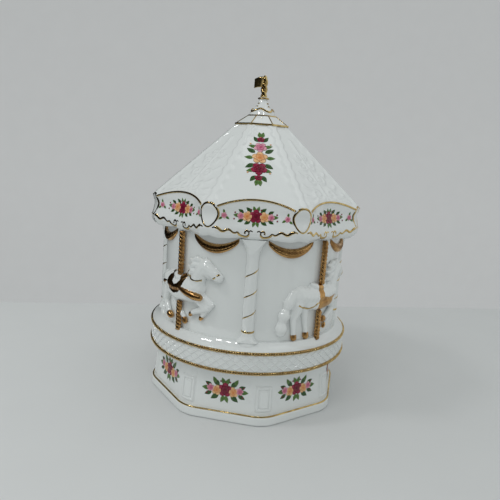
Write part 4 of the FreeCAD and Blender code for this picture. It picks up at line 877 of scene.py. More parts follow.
LEAPING_LEGS = [
    [(-14.5, 22, 0.2, 4.4), (-17.2, 12.8, 1.2, 2.2), (-12.0, 6.6, 1.6, 1.7)],
    [(-9.6, 21, -0.4, 3.4), (-3.6, 13, 0.6, 1.9), (3.8, 7.4, 1.2, 1.4)],
    [(11.6, 22.4, 0.6, 3.9), (19.6, 16.2, 1.4, 2.4), (10.8, 12.2, 1.6, 1.5)],
    [(14, 22.6, -0.4, 3.3), (22, 18.4, 0.6, 2.0), (16.8, 11.4, 0.8, 1.4)],
]
LEAPING_HOOVES = [
    [(-10.2, 5.4, 1.9, 2.1), (-8.8, 4.8, 1.9, 1.9)],
    [(4.4, 6.4, 1.6, 1.7), (4.8, 5.0, 1.6, 1.6)],
    [(9.6, 11.4, 1.8, 1.4), (9.0, 10.4, 1.8, 1.3)],
    [(16.2, 10.2, 1.0, 1.4), (15.8, 9.2, 1.0, 1.3)],
]
STANDING_LEGS = [
    [(-15, 22, 0.2, 4.4), (-18.0, 12.8, 1.0, 2.1), (-17.2, 4.6, 1.2, 1.6)],
    [(-11, 21, -0.4, 3.8), (-9.8, 12.4, 0.6, 2.0), (-8.6, 4.9, 0.8, 1.6)],
    [(11.6, 22.4, 0.6, 3.9), (15.6, 15, 1.4, 2.0), (6.4, 10.6, 1.6, 1.6)],
    [(13.2, 22.4, -0.4, 3.2), (19, 14.6, 0.6, 2.0), (10, 7.6, 0.8, 1.4)],
]
STANDING_HOOVES = [
    [(-17.0, 3.2, 1.2, 1.8), (-16.8, 1.9, 1.2, 1.9)],
    [(-8.4, 3.4, 1.0, 1.9), (-8.2, 2.0, 1.0, 2.0)],
    [(4.6, 10.6, 2.0, 1.9), (3.8, 10.2, 2.0, 1.8)],
    [(8.0, 5.8, 1.0, 1.3), (7.6, 4.6, 1.0, 1.2)],
]
GIRTH_ROLL = [[(3.2, 25.2, 4.4, 1.6), (8.4, 23.8, 5.0, 2.1), (13.4, 22.8, 4.8, 2.4), (16.0, 22.4, 4.2, 2.0)]]
CROUPER = [[(-9.8, 26.6, 4.4, 0.8), (-13.0, 25.6, 4.6, 1.2)]]
SADDLE = [(-7.6, 34.0), (-9.6, 30.0), (-9.4, 26.0), (-7.0, 22.2), (-2.8, 21.0)]
SADDLE += [(1.0, 22.0), (3.8, 25.4), (4.8, 29.0), (5.2, 34.0)]
# The saddle's front leg is finished in brighter old gold as a painted sheen; the rest of the saddle is dark
# gold.
SADDLE_SHEEN = [(1.2, 23.6), (3.8, 25.4), (4.8, 29.0), (5.2, 34.0), (2.2, 34.0), (1.4, 29.4)]
SEAT = [(-4.8, 36.0), (-5.2, 29.8), (-4.2, 27.4), (-2.2, 26.4), (-0.2, 27.2), (1.4, 29.4), (2.4, 36.0)]
BLANKET = [(-3.5, 33.6), (-3.7, 17.4), (4.6, 17.0), (8.2, 19.8), (11.4, 25.2)]
BLANKET += [(5.0, 24.4), (0.6, 25.4), (-0.2, 33.6)]
print("limbs of a horse:", len(BODY_LIMBS + LEAPING_LEGS + LEAPING_HOOVES + FLOWING_TAIL))

# %% [markdown]
# Gilding on a horse follows its parts: hooves, the girth roll and the saddle or blanket. A face takes the
# finish of the limb it is nearest to, and painted areas are outlines on the unrolled wall, tested face by
# face.

# %% Horse tools
BALL_GAP = 0.35
VOXEL = 0.36
SMOOTH_PASSES = 7


def string_balls(form, limb):
    """Balls along a limb, close enough to melt together."""
    for start, end in zip(limb, limb[1:]):
        start, end = np.array(start), np.array(end)
        count = max(2, int(np.linalg.norm(end[:3] - start[:3]) / (BALL_GAP * min(start[3], end[3]))) + 1)
        for t in np.linspace(0, 1, count):
            along, up, off, radius = (start + (end - start) * t) * MM
            place = Matrix.Translation((along, -off, up))
            bmesh.ops.create_icosphere(form, subdivisions=2, radius=radius, matrix=place)


def melted(name, limbs):
    """One smooth skin over all the balls of the limbs."""
    form = bmesh.new()
    for limb in limbs:
        string_balls(form, limb)
    mesh = bpy.data.meshes.new(name)
    form.to_mesh(mesh)
    form.free()
    raw = add_object(name, mesh)
    remesh = raw.modifiers.new("melt", "REMESH")
    remesh.voxel_size = VOXEL * MM
    smooth = raw.modifiers.new("smooth", "SMOOTH")
    smooth.factor = 0.5
    smooth.iterations = SMOOTH_PASSES
    return evaluated_mesh(raw)


def mesh_arrays(mesh):
    points = np.empty(len(mesh.vertices) * 3)
    mesh.vertices.foreach_get("co", points)
    return points.reshape(-1, 3), [tuple(f.vertices) for f in mesh.polygons]


def limb_distance(places, limb):
    """How far places (along, up, off; millimetres) lie from a limb's skin."""
    best = np.full(len(places), 1e9)
    for start, end in zip(limb, limb[1:]):
        start, end = np.array(start), np.array(end)
        step = end[:3] - start[:3]
        t = np.clip((places - start[:3]) @ step / (step @ step), 0, 1)
        gap = np.linalg.norm(places - start[:3] - t[:, None] * step, axis=1)
        best = np.minimum(best, gap - (start[3] + t * (end[3] - start[3])))
    return best


def inside(outline, across, up):
    """Which places lie inside a closed outline."""
    hit = np.zeros(len(across), bool)
    for (ax, ay), (bx, by) in zip(outline, outline[1:] + outline[:1]):
        crosses = (ay > up) != (by > up)
        hit ^= crosses & (across < (bx - ax) * (up - ay) / ((by - ay) or 1e-12) + ax)
    return hit


def bend_on_drum(flat, middle):
    """Bend points of the unrolled wall (metres) round the drum."""
    angle = flat[:, 0] / DRUM_R + np.radians(middle + CAROUSEL_TURN)
    radius = DRUM_R - flat[:, 1]
    return np.column_stack((radius * np.sin(angle), -radius * np.cos(angle), LEDGE_Z + flat[:, 2]))


print("a ball chain melts at", VOXEL, "mm voxels")

# %% [markdown]
# Left and right of the front pillar stand two kinds of horse: one leaps, with a saddle and a gilt girth
# roll, and one stands with a gilt blanket and a bunched tail. The back of the relief is flattened and let
# a little into the drum, so no gap shows.

# %% Horses
HORSE_FINISHES = [PORCELAIN, OLD_GOLD, DARK_GOLD]
LET_IN = 0.3 * MM
PAINTED_FROM = 0.6


def horse_relief(name, plain, gold, dark, areas, bare):
    """The unrolled relief and the finish of every face."""
    limbs = plain + gold + dark
    flat, faces = mesh_arrays(melted(name, limbs))
    flat[:, 1] = np.minimum(flat[:, 1], LET_IN)
    centres = np.array([flat[list(f)].mean(axis=0) for f in faces]) / MM
    places = np.column_stack((centres[:, 0], centres[:, 2], -centres[:, 1]))
    nearest = np.argmin([limb_distance(places, limb) for limb in limbs], axis=0)
    finish = np.where(nearest < len(plain), 0, np.where(nearest < len(plain + gold), 1, 2))
    front = (places[:, 2] > PAINTED_FROM) & (finish == 0)
    for outline, index in areas:
        keep = front & inside(outline, places[:, 0], places[:, 1])
        for hole in bare:
            keep &= ~inside(hole, places[:, 0], places[:, 1])
        finish[keep] = index
    return flat, faces, finish


leaping = horse_relief(
    "leaping",
    BODY_LIMBS + FLOWING_TAIL + LEAPING_LEGS,
    LEAPING_HOOVES + GIRTH_ROLL,
    CROUPER,
    [(SADDLE, 2), (SADDLE_SHEEN, 1)],
    [SEAT],
)
standing = horse_relief(
    "standing", BODY_LIMBS + BUNCHED_TAIL + STANDING_LEGS, STANDING_HOOVES, [], [(BLANKET, 1)], []
)
reliefs = []
for k in range(4):
    flat, faces, finish = standing if k % 2 == 0 else leaping
    points = bend_on_drum(flat, 90 * k + 45)
    piece = new_piece(f"horse_relief_{k + 1}", points, faces, HORSE_FINISHES, face_finish=finish)
    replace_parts(piece, f"horse_{k + 1}")
    reliefs.append(piece)
print("horse faces:", [len(p.data.polygons) for p in reliefs])

# %% [markdown]
# A few gilt strokes finish the harness: a neck line on the leaping horse, a belly line on the standing
# one, and two touches on each muzzle. A ray shot at the relief finds the height of the surface under each
# point of a stroke.

# %% Harness lines
NECK_LINE = [(5.8, 36.2), (7.2, 33.4), (9.8, 31.8), (13.0, 31.6), (16.2, 32.4)]
BELLY_LINE = [(-16.6, 21.9), (-14.4, 20.6), (-11.0, 19.8), (-7.4, 20.4), (-3.9, 22.3)]
MUZZLE_MARKS = [[(23.4, 34.6), (24.8, 35.6)], [(25.2, 36.2), (26.4, 36.8)]]
HARNESS_R, HARNESS_SINK = 0.86, 0.72 * MM


def on_relief(relief, stroke, middle):
    flat, faces, _ = relief
    tree = BVHTree.FromPolygons([tuple(p) for p in flat], faces)
    path = []
    for along, up in rounded(stroke, 8):
        hit = tree.ray_cast(Vector((along * MM, -0.03, up * MM)), Vector((0, 1, 0)))[0]
        path.append((along * MM, (hit.y if hit else 0.0) + HARNESS_SINK, up * MM))
    return bend_on_drum(np.array(path), middle)


harness = []
for k in range(4):
    relief, line = (standing, BELLY_LINE) if k % 2 == 0 else (leaping, NECK_LINE)
    strokes = [on_relief(relief, stroke, 90 * k + 45) for stroke in [line] + MUZZLE_MARKS]
    harness += [(stroke, HARNESS_R, False) for stroke in strokes]
print("harness lines:", len(brush("harness_gilding", harness, GOLD_LINE).data.polygons), "faces")

# %% [markdown]
# The brass-coloured poles are moulded as twisted cord: three strands wound to the right round a core.
# Its dark gold is painted shade for the grooves between the strands. The two ropes round the platform's
# rim are finer, with two strands round a dark gold core of the same painted shade. Strands are only paths
# again, so the brush makes them.


# %% Twisted poles and ropes
def join_pieces(name, pieces, body):
    """Join brushed pieces into one, each keeping its finish."""
    points, faces, finish, finishes = [], [], [], []
    for index, piece in enumerate(pieces):
        own, own_faces = mesh_arrays(piece.data)
        first = len(points)
        points += list(own)
        faces += shifted(own_faces, first)
        finish += [index] * len(own_faces)
        finishes.append(piece.data.materials[0])
        bpy.data.objects.remove(piece)
    return new_piece(name, points, faces, finishes, body, finish)


def strands(axis_point, across, upward, count, offset, turns, steps):
    """Strands wound round an axis from axis_point(0) to axis_point(1)."""
    paths = []
    for k in range(count):
        path = []
        for t in np.linspace(0, 1, steps):
            angle = 2 * np.pi * (turns * t + k / count)
            sideways = across * offset * math.cos(angle)
            path.append(axis_point(t) + sideways + upward * offset * math.sin(angle))
        paths.append(path)
    return paths


POLE_OFF = 2.2 * MM
POLE_PITCH = 7.2 * MM
POLE_PARTS = ((-2.0, 17.2), (31.6, 58.2))
POLE_END = 0.9
POLE_STRAND, POLE_STRAND_OFF, POLE_CORE = 0.92, 0.88 * MM, 1.2
for k in range(4):
    middle = 90 * k + 45
    foot = around(DRUM_R + POLE_OFF, middle, LEDGE_Z)
    side, out = around(1, middle + 90, 0), around(1, middle, 0)
    cords, cores = [], []
    for low, high in POLE_PARTS:
        axis = lambda t: foot + Vector((0, 0, (low + POLE_END + (high - low - 2 * POLE_END) * t) * MM))
        turns = -(high - low) * MM / POLE_PITCH
        wound = strands(axis, side, -out, 3, POLE_STRAND_OFF, turns, 120)
        cords += [(path, POLE_STRAND, False) for path in wound]
        cores.append(([axis(-0.01), axis(0.5), axis(1.01)], POLE_CORE, False))
    # The dark gold core is painted shade in the grooves between the strands.
    pieces = [brush(f"cord_{k}", cords, OLD_GOLD, 0.5, 8), brush(f"core_{k}", cores, DARK_GOLD, 2.0, 10)]
    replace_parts(join_pieces(f"twisted_pole_{k + 1}", pieces, "carousel"), f"pole_{k + 1}")

ROPE_PERIOD = 2.9 * MM
ROPE_IN = 0.9 * MM
ROPE_STRAND, ROPE_STRAND_OFF, ROPE_CORE = 0.46, 0.66 * MM, 0.84
for name in ("lower_rope", "upper_rope"):
    low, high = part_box(name)
    ring_r, ring_z = (high.x - low.x) / 2 - ROPE_IN, (low.z + high.z) / 2
    turns = round(2 * np.pi * ring_r / ROPE_PERIOD)
    paths = []
    for k in range(2):
        a = np.linspace(0, 360, turns * 9, endpoint=False)
        twist = np.radians(a * turns) + np.pi * k
        radius, height = ring_r + ROPE_STRAND_OFF * np.cos(twist), ring_z + ROPE_STRAND_OFF * np.sin(twist)
        paths.append(([around(r, d, h) for r, d, h in zip(radius, a, height)], ROPE_STRAND, True))
    core = [([around(ring_r, d, ring_z) for d in range(0, 360, 3)], ROPE_CORE, True)]
    pieces = [brush(name + "_strands", paths, GOLD_LINE, 0.34, 6)]
    # The dark gold core is painted shade in the grooves between the two strands.
    pieces.append(brush(name + "_core", core, DARK_GOLD, 2.0, 8))
    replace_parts(join_pieces(f"twisted_{name}", pieces, "carousel"), name)
print("four poles and two ropes, rope strands of", len(paths[0][0]), "points")

# %% [markdown]
# The ledge falls away towards the rim, so each pillar needs a small spreading foot that follows it down.
# It is a stack of oval rings, given here from the shaft down, the lowest inside the ledge.

# %% Pillar feet
FOOT_RINGS = [(3.6, 54.4), (3.65, 53.2), (3.95, 51.6), (4.6, 50.2)]
FOOT_RINGS += [(5.4, 49.1), (6.1, 48.3), (6.6, 47.3), (6.8, 46.0)]
FOOT_DEPTH, FOOT_LEAST = 0.7, 3.6
FOOT_STEP = 9


def make_feet():
    points, faces = [], []
    for k in range(4):
        centre, first = around(PILLAR_AXIS, 90 * k, 0), len(points)
        out, side = around(MM, 90 * k, 0), around(MM, 90 * k + 90, 0)
        for radius, height in reversed(FOOT_RINGS):
            deep = max(FOOT_DEPTH * radius, FOOT_LEAST)
            for a in np.radians(np.arange(0, 360, FOOT_STEP)):
                spread = out * deep * math.cos(a) + side * radius * math.sin(a)
                points.append(centre + spread + Vector((0, 0, height * MM)))
        faces += shifted(closed_rings(len(FOOT_RINGS), 360 // FOOT_STEP), first)
    return new_piece("pillar_feet", points, faces, [PORCELAIN])


print("pillar foot faces:", len(make_feet().data.polygons))

# %% [markdown]
# Between the ropes the rim is moulded with a lattice, two rows of diamonds, white on white. Zigzag ridges
# that run right round make it.

# %% Lattice on the rim
RIM_R = 62.8 * MM
DIAMONDS = 36
ROW_HIGH = 4.5 * MM
ZIGZAG_SHARE = 0.94
LATTICE_R, LATTICE_OFF = 0.42, 0.05 * MM


def lattice_paths():
    centre = (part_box("lower_rope")[1].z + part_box("upper_rope")[0].z) / 2
    paths = []
    for row in (-1, 1):
        for phase in (0, 1):
            zigzag = []
            for k in range(DIAMONDS * 2):
                height = centre + row * ROW_HIGH / 2 + (0.5 - (k + phase) % 2) * ROW_HIGH * ZIGZAG_SHARE
                zigzag.append(around(RIM_R + LATTICE_OFF, k * 180 / DIAMONDS, height))
            paths.append((zigzag, LATTICE_R, True))
    return paths


lattice = brush("rim_lattice", lattice_paths(), PORCELAIN, 0.6, 6)
print("lattice faces:", len(lattice.data.polygons))

# %% [markdown]
# Gilt swags hang under the eave, two to every quarter. Each is a crescent, thin at its ends, with a
# smooth lower border and a grained band above it. The grain is moulded; the dark gold flecks that follow
# it over the band are painted shade on the upper middle of the crescent. Rings of points follow the
# crescent from end to end.

# %% Swags
SWAG_HALF, SWAG_END_Z, SWAG_DROP = 13.8, 106.9, 4.4
SWAG_ROWS, SWAG_COLUMNS = 18, 61
END_DEEP, MORE_DEEP = 2.4, 2.9
END_SWELL, MORE_SWELL = 0.5, 2.1
SWAG_SINK = 0.25
BAND_LOW, BAND_WIDE, DARK_HIGH = 0.42, 0.44, 0.82
GRAIN, GRAIN_HIGH, GRAIN_FROM = 46, 0.28, -0.3
CREASE_LOW, CREASE_HIGH, CREASE_DEEP = 0.36, 0.44, 0.35


def make_swags():
    points, faces, finish = [], [], []
    rows, columns = SWAG_ROWS, SWAG_COLUMNS
    for k in range(SIDES):
        first = len(points)
        for t in np.linspace(-1, 1, columns):
            top = SWAG_END_Z - SWAG_DROP * (1 - t * t)
            deep = END_DEEP + MORE_DEEP * (1 - t * t) ** 0.7
            for i in range(rows):
                turn = np.pi * i / (rows - 1)
                v = (1 - math.cos(turn)) / 2
                swell = (END_SWELL + MORE_SWELL * (1 - t * t) ** 0.6) * math.sin(turn) ** 0.7
                if 0 < v - BAND_LOW < BAND_WIDE:
                    fade = math.sin((v - BAND_LOW) / BAND_WIDE * np.pi)
                    swell += GRAIN_HIGH * math.sin(t * GRAIN + 3 * (i % 2)) * fade
                if CREASE_LOW < v < CREASE_HIGH:
                    swell -= CREASE_DEEP
                up = (top - deep * (1 - v)) * MM - LEDGE_Z
                points.append((t * SWAG_HALF * MM, -(swell - SWAG_SINK) * MM, up))
        flat = np.array(points[first:])
        points[first:] = list(bend_on_drum(flat, PANEL * (k + 0.5)))
        for j in range(columns - 1):
            for i in range(rows):
                a, b = first + j * rows + i, first + j * rows + (i + 1) % rows
                faces.append((a, a + rows, b + rows, b))
                v = (1 - math.cos(np.pi * (i + 0.5) / (rows - 1))) / 2
                # Faces in the band where the grain runs high get dark gold: painted shade laid in the grain's
                # pattern.
                shade_speck = math.sin((2 * j / (columns - 1) - 1) * GRAIN + 3 * (i % 2)) > GRAIN_FROM
                finish.append(1 if BAND_LOW < v < DARK_HIGH and i < rows - 1 and shade_speck else 0)
        faces.append(tuple(first + i for i in range(rows)))
        faces.append(tuple(first + (columns - 1) * rows + i for i in reversed(range(rows))))
        finish += [0, 0]
    piece = new_piece("gilt_swags", points, faces, [OLD_GOLD, DARK_GOLD], face_finish=finish)
    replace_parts(piece, "swags")
    return piece


print("swag faces:", len(make_swags().data.polygons))

# %% [markdown]
# On top stands a twisted gilt post with a little pennant blown to the left. The post is two thick strands
# ending in a knob. The pennant is a thin closed sheet with a fold in it.

# %% Flag
POST_OFFSET, POST_STRAND, POST_TURNS = 0.85, 1.25, -1.3
KNOB_HIGH = 2.2 * MM
KNOB_STOPS, KNOB_RADII = (-0.6, 0.3, 1.2, 1.8), (1.2, 1.5, 1.0, 0.3)
PENNANT_ROWS, PENNANT_COLUMNS = 9, 15
PENNANT_LONG, PENNANT_HIGH, PENNANT_FOLD, PENNANT_HALF_THICK = 5.9, 6.4, 1.5, 0.45


def make_flag():
    foot, tall = Vector((0, 0, FINIAL_TOP_Z)), FLAG_TOP_Z - FINIAL_TOP_Z - KNOB_HIGH
    axis = lambda t: foot + Vector((0, 0, 0.2 * MM + tall * t))
    side, out = around(1, 90, 0), around(1, 0, 0)
    wound = strands(axis, side, -out, 2, POST_OFFSET * MM, POST_TURNS, 80)
    knob = [axis(1) + Vector((0, 0, d * MM)) for d in KNOB_STOPS]
    post = [(path, POST_STRAND, False) for path in wound] + [(knob, KNOB_RADII, False)]
    twisted = brush("post", post, GOLD_LINE, 0.3, 10)
    rows, columns = PENNANT_ROWS, PENNANT_COLUMNS
    sheet = []
    for face in (1, -1):
        for i in range(rows):
            for j in range(columns):
                reach, up = j / (columns - 1), i / (rows - 1)
                fold = PENNANT_FOLD * math.sin(reach * 3.3 + 0.7 * up) + face * PENNANT_HALF_THICK
                drop = 1.2 + 1.4 * reach**2 + (PENNANT_HIGH - 0.8 * reach) * (1 - up)
                height = Vector((0, 0, FLAG_TOP_Z - drop * MM))
                sheet.append(side * (-0.4 - PENNANT_LONG * reach) * MM + out * fold * MM + height)
    count = rows * columns
    front = [tuple(reversed(f)) for f in grid_faces(rows, columns, close_columns=False)]
    back = [tuple(count + i for i in reversed(f)) for f in front]
    edge = list(range(columns)) + [i * columns + columns - 1 for i in range(1, rows)]
    edge += [(rows - 1) * columns + j for j in reversed(range(columns - 1))]
    edge += [i * columns for i in reversed(range(1, rows - 1))]
    rim = [(count + b, count + a, a, b) for a, b in zip(edge, edge[1:] + edge[:1])]
    pennant = new_piece("pennant", sheet, front + back + rim, [GOLD_LINE])
    piece = join_pieces("post_and_pennant", [twisted, pennant], "carousel")
    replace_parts(piece, "flag")
    return piece


print("flag faces:", len(make_flag().data.polygons))

# %% [markdown]
# Painted flowers are transfers, laid on the glaze and fired. These are plain blossoms with two rings of
# five petals, leaves and berries. One blossom, one leaf and one berry are modelled flat, as low lenses.

# %% Blossom, leaf and berry
SHOULDER, SHOULDER_RISE = 0.6, 0.8
PETAL_RINGS = ((0.58, 0.40, 0.0), (0.30, 0.30, 0.10))
PETALS = 5
HEART_R, HEART_UP = 0.16, 0.18
LEAF_HALF = 0.27


def lens(outline, dome, reach_middle, reach_edge):
    """A closed low lens over a flat outline, with the paint value of every point."""
    outline = np.array(outline, float)
    middle, count = outline.mean(axis=0), len(outline)
    half_way = middle + (outline - middle) * SHOULDER
    points = [(*middle, dome)] + [(*p, dome * SHOULDER_RISE) for p in half_way] + [(*p, 0.0) for p in outline]
    faces = [(0, 1 + i, 1 + (i + 1) % count) for i in range(count)]
    faces += [(1 + i, 1 + count + i, 1 + count + (i + 1) % count, 1 + (i + 1) % count) for i in range(count)]
    faces += [tuple(1 + count + i for i in reversed(range(count)))]
    reach = [reach_middle] + [(reach_middle + reach_edge) / 2] * count + [reach_edge] * count
    return points, faces, reach


def motif(name, parts):
    """A hidden mesh object that joins lenses given as (points, faces, reach)."""
    points, faces, reach = [], [], []
    for own, own_faces, own_reach in parts:
        first = len(points)
        points += own
        faces += shifted(own_faces, first)
        reach += own_reach
    mesh = bpy.data.meshes.new(name)
    mesh.from_pydata(points, [], faces)
    store(mesh, "reach", "FLOAT", "value", reach)
    return bpy.data.objects.new(name, mesh)


def blossom_parts():
    turns = np.linspace(0, 2 * np.pi, 12, endpoint=False)
    parts = []
    for ring, (out, wide, base) in enumerate(PETAL_RINGS):
        for k in range(PETALS):
            angle = 2 * np.pi * (k + 0.5 * ring) / PETALS
            flat = np.column_stack((out + wide * np.cos(turns), wide * 1.05 * np.sin(turns)))
            spin = np.array(((np.cos(angle), np.sin(angle)), (-np.sin(angle), np.cos(angle))))
            points, faces, _ = lens(flat @ spin, 0.10, 0, 0)
            fall, tint = 1.0 - 0.25 * ring, 0.8 + 0.12 * (k % 3)
            reach = [min(1.0, math.hypot(p[0], p[1]) * fall * tint) for p in points]
            parts.append(([(x, y, z + base) for x, y, z in points], faces, reach))
    heart = np.column_stack((HEART_R * np.cos(turns), HEART_R * np.sin(turns)))
    points, faces, reach = lens(heart, 0.08, 0.0, 0.1)
    return parts + [([(x, y, z + HEART_UP) for x, y, z in points], faces, reach)]


def leaf_parts():
    t = np.linspace(0, 1, 9)
    wide = LEAF_HALF * np.sin(np.pi * t**0.8)
    outline = [(a, w) for a, w in zip(t, -wide)] + [(a, w) for a, w in zip(t[-2:0:-1], wide[-2:0:-1])]
    return [lens(outline, 0.05, 0.1, 0.9)]


def berry_parts():
    turns = np.linspace(0, 2 * np.pi, 10, endpoint=False)
    return [lens(np.column_stack((0.5 * np.cos(turns), 0.5 * np.sin(turns))), 0.12, 0.8, 0.2)]


MOTIF_PARTS = {"blossom": blossom_parts(), "leaf": leaf_parts(), "berry": berry_parts()}
MOTIFS = {name: motif(name, parts) for name, parts in MOTIF_PARTS.items()}
print("motif points:", {name: len(m.data.vertices) for name, m in MOTIFS.items()})

# %% [markdown]
# A Geometry Nodes group sets a copy of a motif on every point of a layout, turned and sized by values
# stored on the points, and makes the copies real. The flat spray is then laid on the eave, the roof or
# the pedestal by moving its points.

# %% Scatter motifs on points
COPY_STEP, LAYER_STEP = 0.002, 0.02


def scatter_group():
    inputs = [("Geometry", "Geometry", None), ("Motif", "Object", None), ("Finish", "Material", None)]
    tree, start, end = node_group("scatter_motif", "GeometryNodeTree", inputs, [("Geometry", "Geometry")])
    source, copies = add_nodes(tree, "ObjectInfo", "InstanceOnPoints")
    turn, size = stored_value(tree, "turn", "FLOAT_VECTOR"), stored_value(tree, "size", "FLOAT_VECTOR")
    rotate = tree.nodes.new("FunctionNodeEulerToRotation")
    real, finish = add_nodes(tree, "RealizeInstances", "SetMaterial")
    links = [(start, "Geometry", copies, "Points"), (start, "Motif", source, "Object")]
    links += [(source, "Geometry", copies, "Instance"), (turn, "Attribute", rotate, "Euler")]
    links += [(rotate, "Rotation", copies, "Rotation"), (size, "Attribute", copies, "Scale")]
    links += [(copies, "Instances", real, "Geometry"), (real, "Geometry", finish, "Geometry")]
    links += [(start, "Finish", finish, "Material"), (finish, "Geometry", end, "Geometry")]
    link_all(tree, links)
    return tree


SCATTER_MOTIF = scatter_group()


def scatter(kind, finish, places):
    """A flat mesh of copies at (across, up, size, turn in degrees) places, in millimetres."""
    mesh = bpy.data.meshes.new("layout")
    mesh.from_pydata([(a, u, COPY_STEP * i) for i, (a, u, _, _) in enumerate(places)], [], [])
    turns = [c for *_, t in places for c in (0, 0, math.radians(t))]
    sizes = [c for _, _, s, _ in places for c in (s, s, 1.0)]
    store(mesh, "turn", "FLOAT_VECTOR", "vector", turns)
    store(mesh, "size", "FLOAT_VECTOR", "vector", sizes)
    raw = add_object("layout", mesh)
    node_modifier(raw, SCATTER_MOTIF, Motif=MOTIFS[kind], Finish=finish)
    return evaluated_mesh(raw)


def flat_spray(layout):
    """Points, faces, finish numbers and paint values of a spray laid out flat."""
    points, faces, finish, reach = [], [], [], []
    for index, (kind, colour, places) in enumerate(layout):
        mesh = scatter(kind, colour, places)
        own, own_faces = mesh_arrays(mesh)
        values = np.empty(len(own))
        mesh.attributes["reach"].data.foreach_get("value", values)
        first = len(points)
        points += list(own + np.array((0, 0, LAYER_STEP * (index + 1))))
        faces += shifted(own_faces, first)
        finish += [index] * len(own_faces)
        reach += list(values)
    return np.array(points), faces, finish, reach


def lay_sprays(name, layout, surfaces, body="carousel"):
    """Lay a copy of the spray on every surface, a function from (across, up, lift) to points."""
    flat, faces, finish, reach = flat_spray(layout)
    points, all_faces = [], []
    for surface in surfaces:
        first = len(points)
        points += list(surface(flat[:, 0], flat[:, 1], flat[:, 2]))
        all_faces += shifted(faces, first)
    colours = [colour for _, colour, _ in layout]
    piece = new_piece(name, points, all_faces, colours, body, finish * len(surfaces))
    store(piece.data, "reach", "FLOAT", "value", reach * len(surfaces))
    return piece


def mirrored(places):
    """The places and their mirror images."""
    return places + [(-a, u, s, 180 - t) for a, u, s, t in places]


print("scatter inputs:", [i.name for i in SCATTER_MOTIF.interface.items_tree if i.in_out == "INPUT"])

# %% [markdown]
# Three layouts, all mirrored left to right: a wide spray with two single blossoms for every panel of the
# eave, a tall one for the four plain slopes of the roof and a full one for each side of the pedestal.

# %% Layouts
EAVE_SPRAY = [
    (
        "leaf",
        DEEP_GREEN,
        mirrored([(2.4, 2.2, 3.9, 40), (2.7, -2.0, 4.0, -34), (6.5, 1.8, 3.4, 30), (6.6, -1.6, 3.4, -26)]),
    ),
    (
        "leaf",
        LEAF_GREEN,
        mirrored([(8.2, 0.2, 3.8, 4), (0.5, 2.6, 3.2, 70), (0.5, -2.4, 3.2, -72), (17.6, -0.8, 2.4, -38)]),
    ),
    ("leaf", LEAF_GREEN, mirrored([(15.8, -0.6, 2.4, 215), (16.7, 1.2, 2.2, 80)])),
    ("blossom", WINE_RED, [(0.0, 0.2, 3.8, 18)]),
    ("blossom", PEACH, mirrored([(4.5, 0.0, 2.9, 30)])),
    ("blossom", ROSE_PINK, mirrored([(8.0, 0.1, 2.0, 10), (16.7, 0.0, 1.7, 40)])),
    ("berry", WINE_RED, mirrored([(11.0, 1.8, 0.9, 0), (11.4, -1.5, 0.9, 0), (2.6, 3.6, 0.9, 0)])),
]
ROOF_SPRAY = [
    (
        "leaf",
        DEEP_GREEN,
        mirrored([(2.8, 4.2, 6.0, 34), (2.8, -4.6, 6.0, -32), (1.4, 13.0, 5.2, 56), (1.6, -13.4, 5.4, -56)]),
    ),
    (
        "leaf",
        LEAF_GREEN,
        mirrored([(3.6, 0.2, 5.2, 2), (2.2, 8.6, 5.0, 16), (2.2, -8.8, 5.2, -18), (0.3, -16.0, 5.2, -78)]),
    ),
    ("leaf", LEAF_GREEN, mirrored([(0.3, 16.4, 5.0, 78)])),
    ("blossom", WINE_RED, [(0.0, -8.2, 4.9, 54)]),
    ("blossom", PEACH, [(0.0, 0.4, 4.8, 18)]),
    ("blossom", ROSE_PINK, [(0.0, 8.6, 4.0, 54)]),
    ("blossom", WINE_RED, [(0.0, 15.0, 2.4, 18), (0.0, -15.0, 2.3, 18)]),
    ("berry", PEACH, mirrored([(5.8, 11.2, 1.1, 0), (6.2, -11.4, 1.1, 0)])),
]
BASE_SPRAY = [
    (
        "leaf",
        DEEP_GREEN,
        mirrored([(3.4, 2.6, 5.4, 40), (3.6, -2.6, 5.6, -36), (7.8, 1.8, 4.6, 26), (7.8, -1.8, 4.6, -24)]),
    ),
    (
        "leaf",
        LEAF_GREEN,
        mirrored([(8.8, 0.2, 5.0, 2), (0.4, 3.4, 4.4, 66), (0.4, -3.2, 4.4, -68), (5.4, 3.6, 4.2, 62)]),
    ),
    ("blossom", WINE_RED, [(0.0, 0.4, 4.4, 18)]),
    ("blossom", PEACH, mirrored([(4.9, -0.4, 3.2, 30)])),
    ("blossom", ROSE_PINK, mirrored([(8.6, 0.6, 2.4, 10)])),
    ("berry", WINE_RED, mirrored([(10.8, 2.8, 1.0, 0), (10.6, -2.6, 1.0, 0), (2.8, 5.2, 1.0, 0)])),
]
print("copies on one panel of the eave:", sum(len(places) for _, _, places in EAVE_SPRAY))

# %% [markdown]
# Laying a spray means sending its flat points to a curved place. The eave has its formula and a slope of
# the roof is a plane. On the pedestal a ray finds the wall, because its corners are rounded and its sides
# lean.

# %% Lay the flowers
EAVE_SPRAY_Z = 119.6
ROOF_SPRAY_UP = 34.5
BASE_SPRAY_Z = 18.0
SPRAY_LIFT = 0.03


def eave_surface(middle):
    return lambda a, u, lift: on_valance(middle, a, EAVE_SPRAY_Z + u, lift + SPRAY_LIFT)


def slope_surface(middle):
    tilt = math.atan2(1, ROOF_RUN)
    turned = math.radians(middle + CAROUSEL_TURN)

    def place(a, u, lift):
        up = (ROOF_SPRAY_UP + u) * MM
        height = EAVE_Z + up * math.sin(tilt)
        out = ROOF_LOW_APOTHEM - up * math.cos(tilt) + (lift + SPRAY_LIFT) * MM * math.sin(tilt)
        height = height + (lift + SPRAY_LIFT) * MM * math.cos(tilt)
        x = out * math.sin(turned) + a * MM * math.cos(turned)
        y = a * MM * math.sin(turned) - out * math.cos(turned)
        return np.column_stack((x, y, height))

    return place


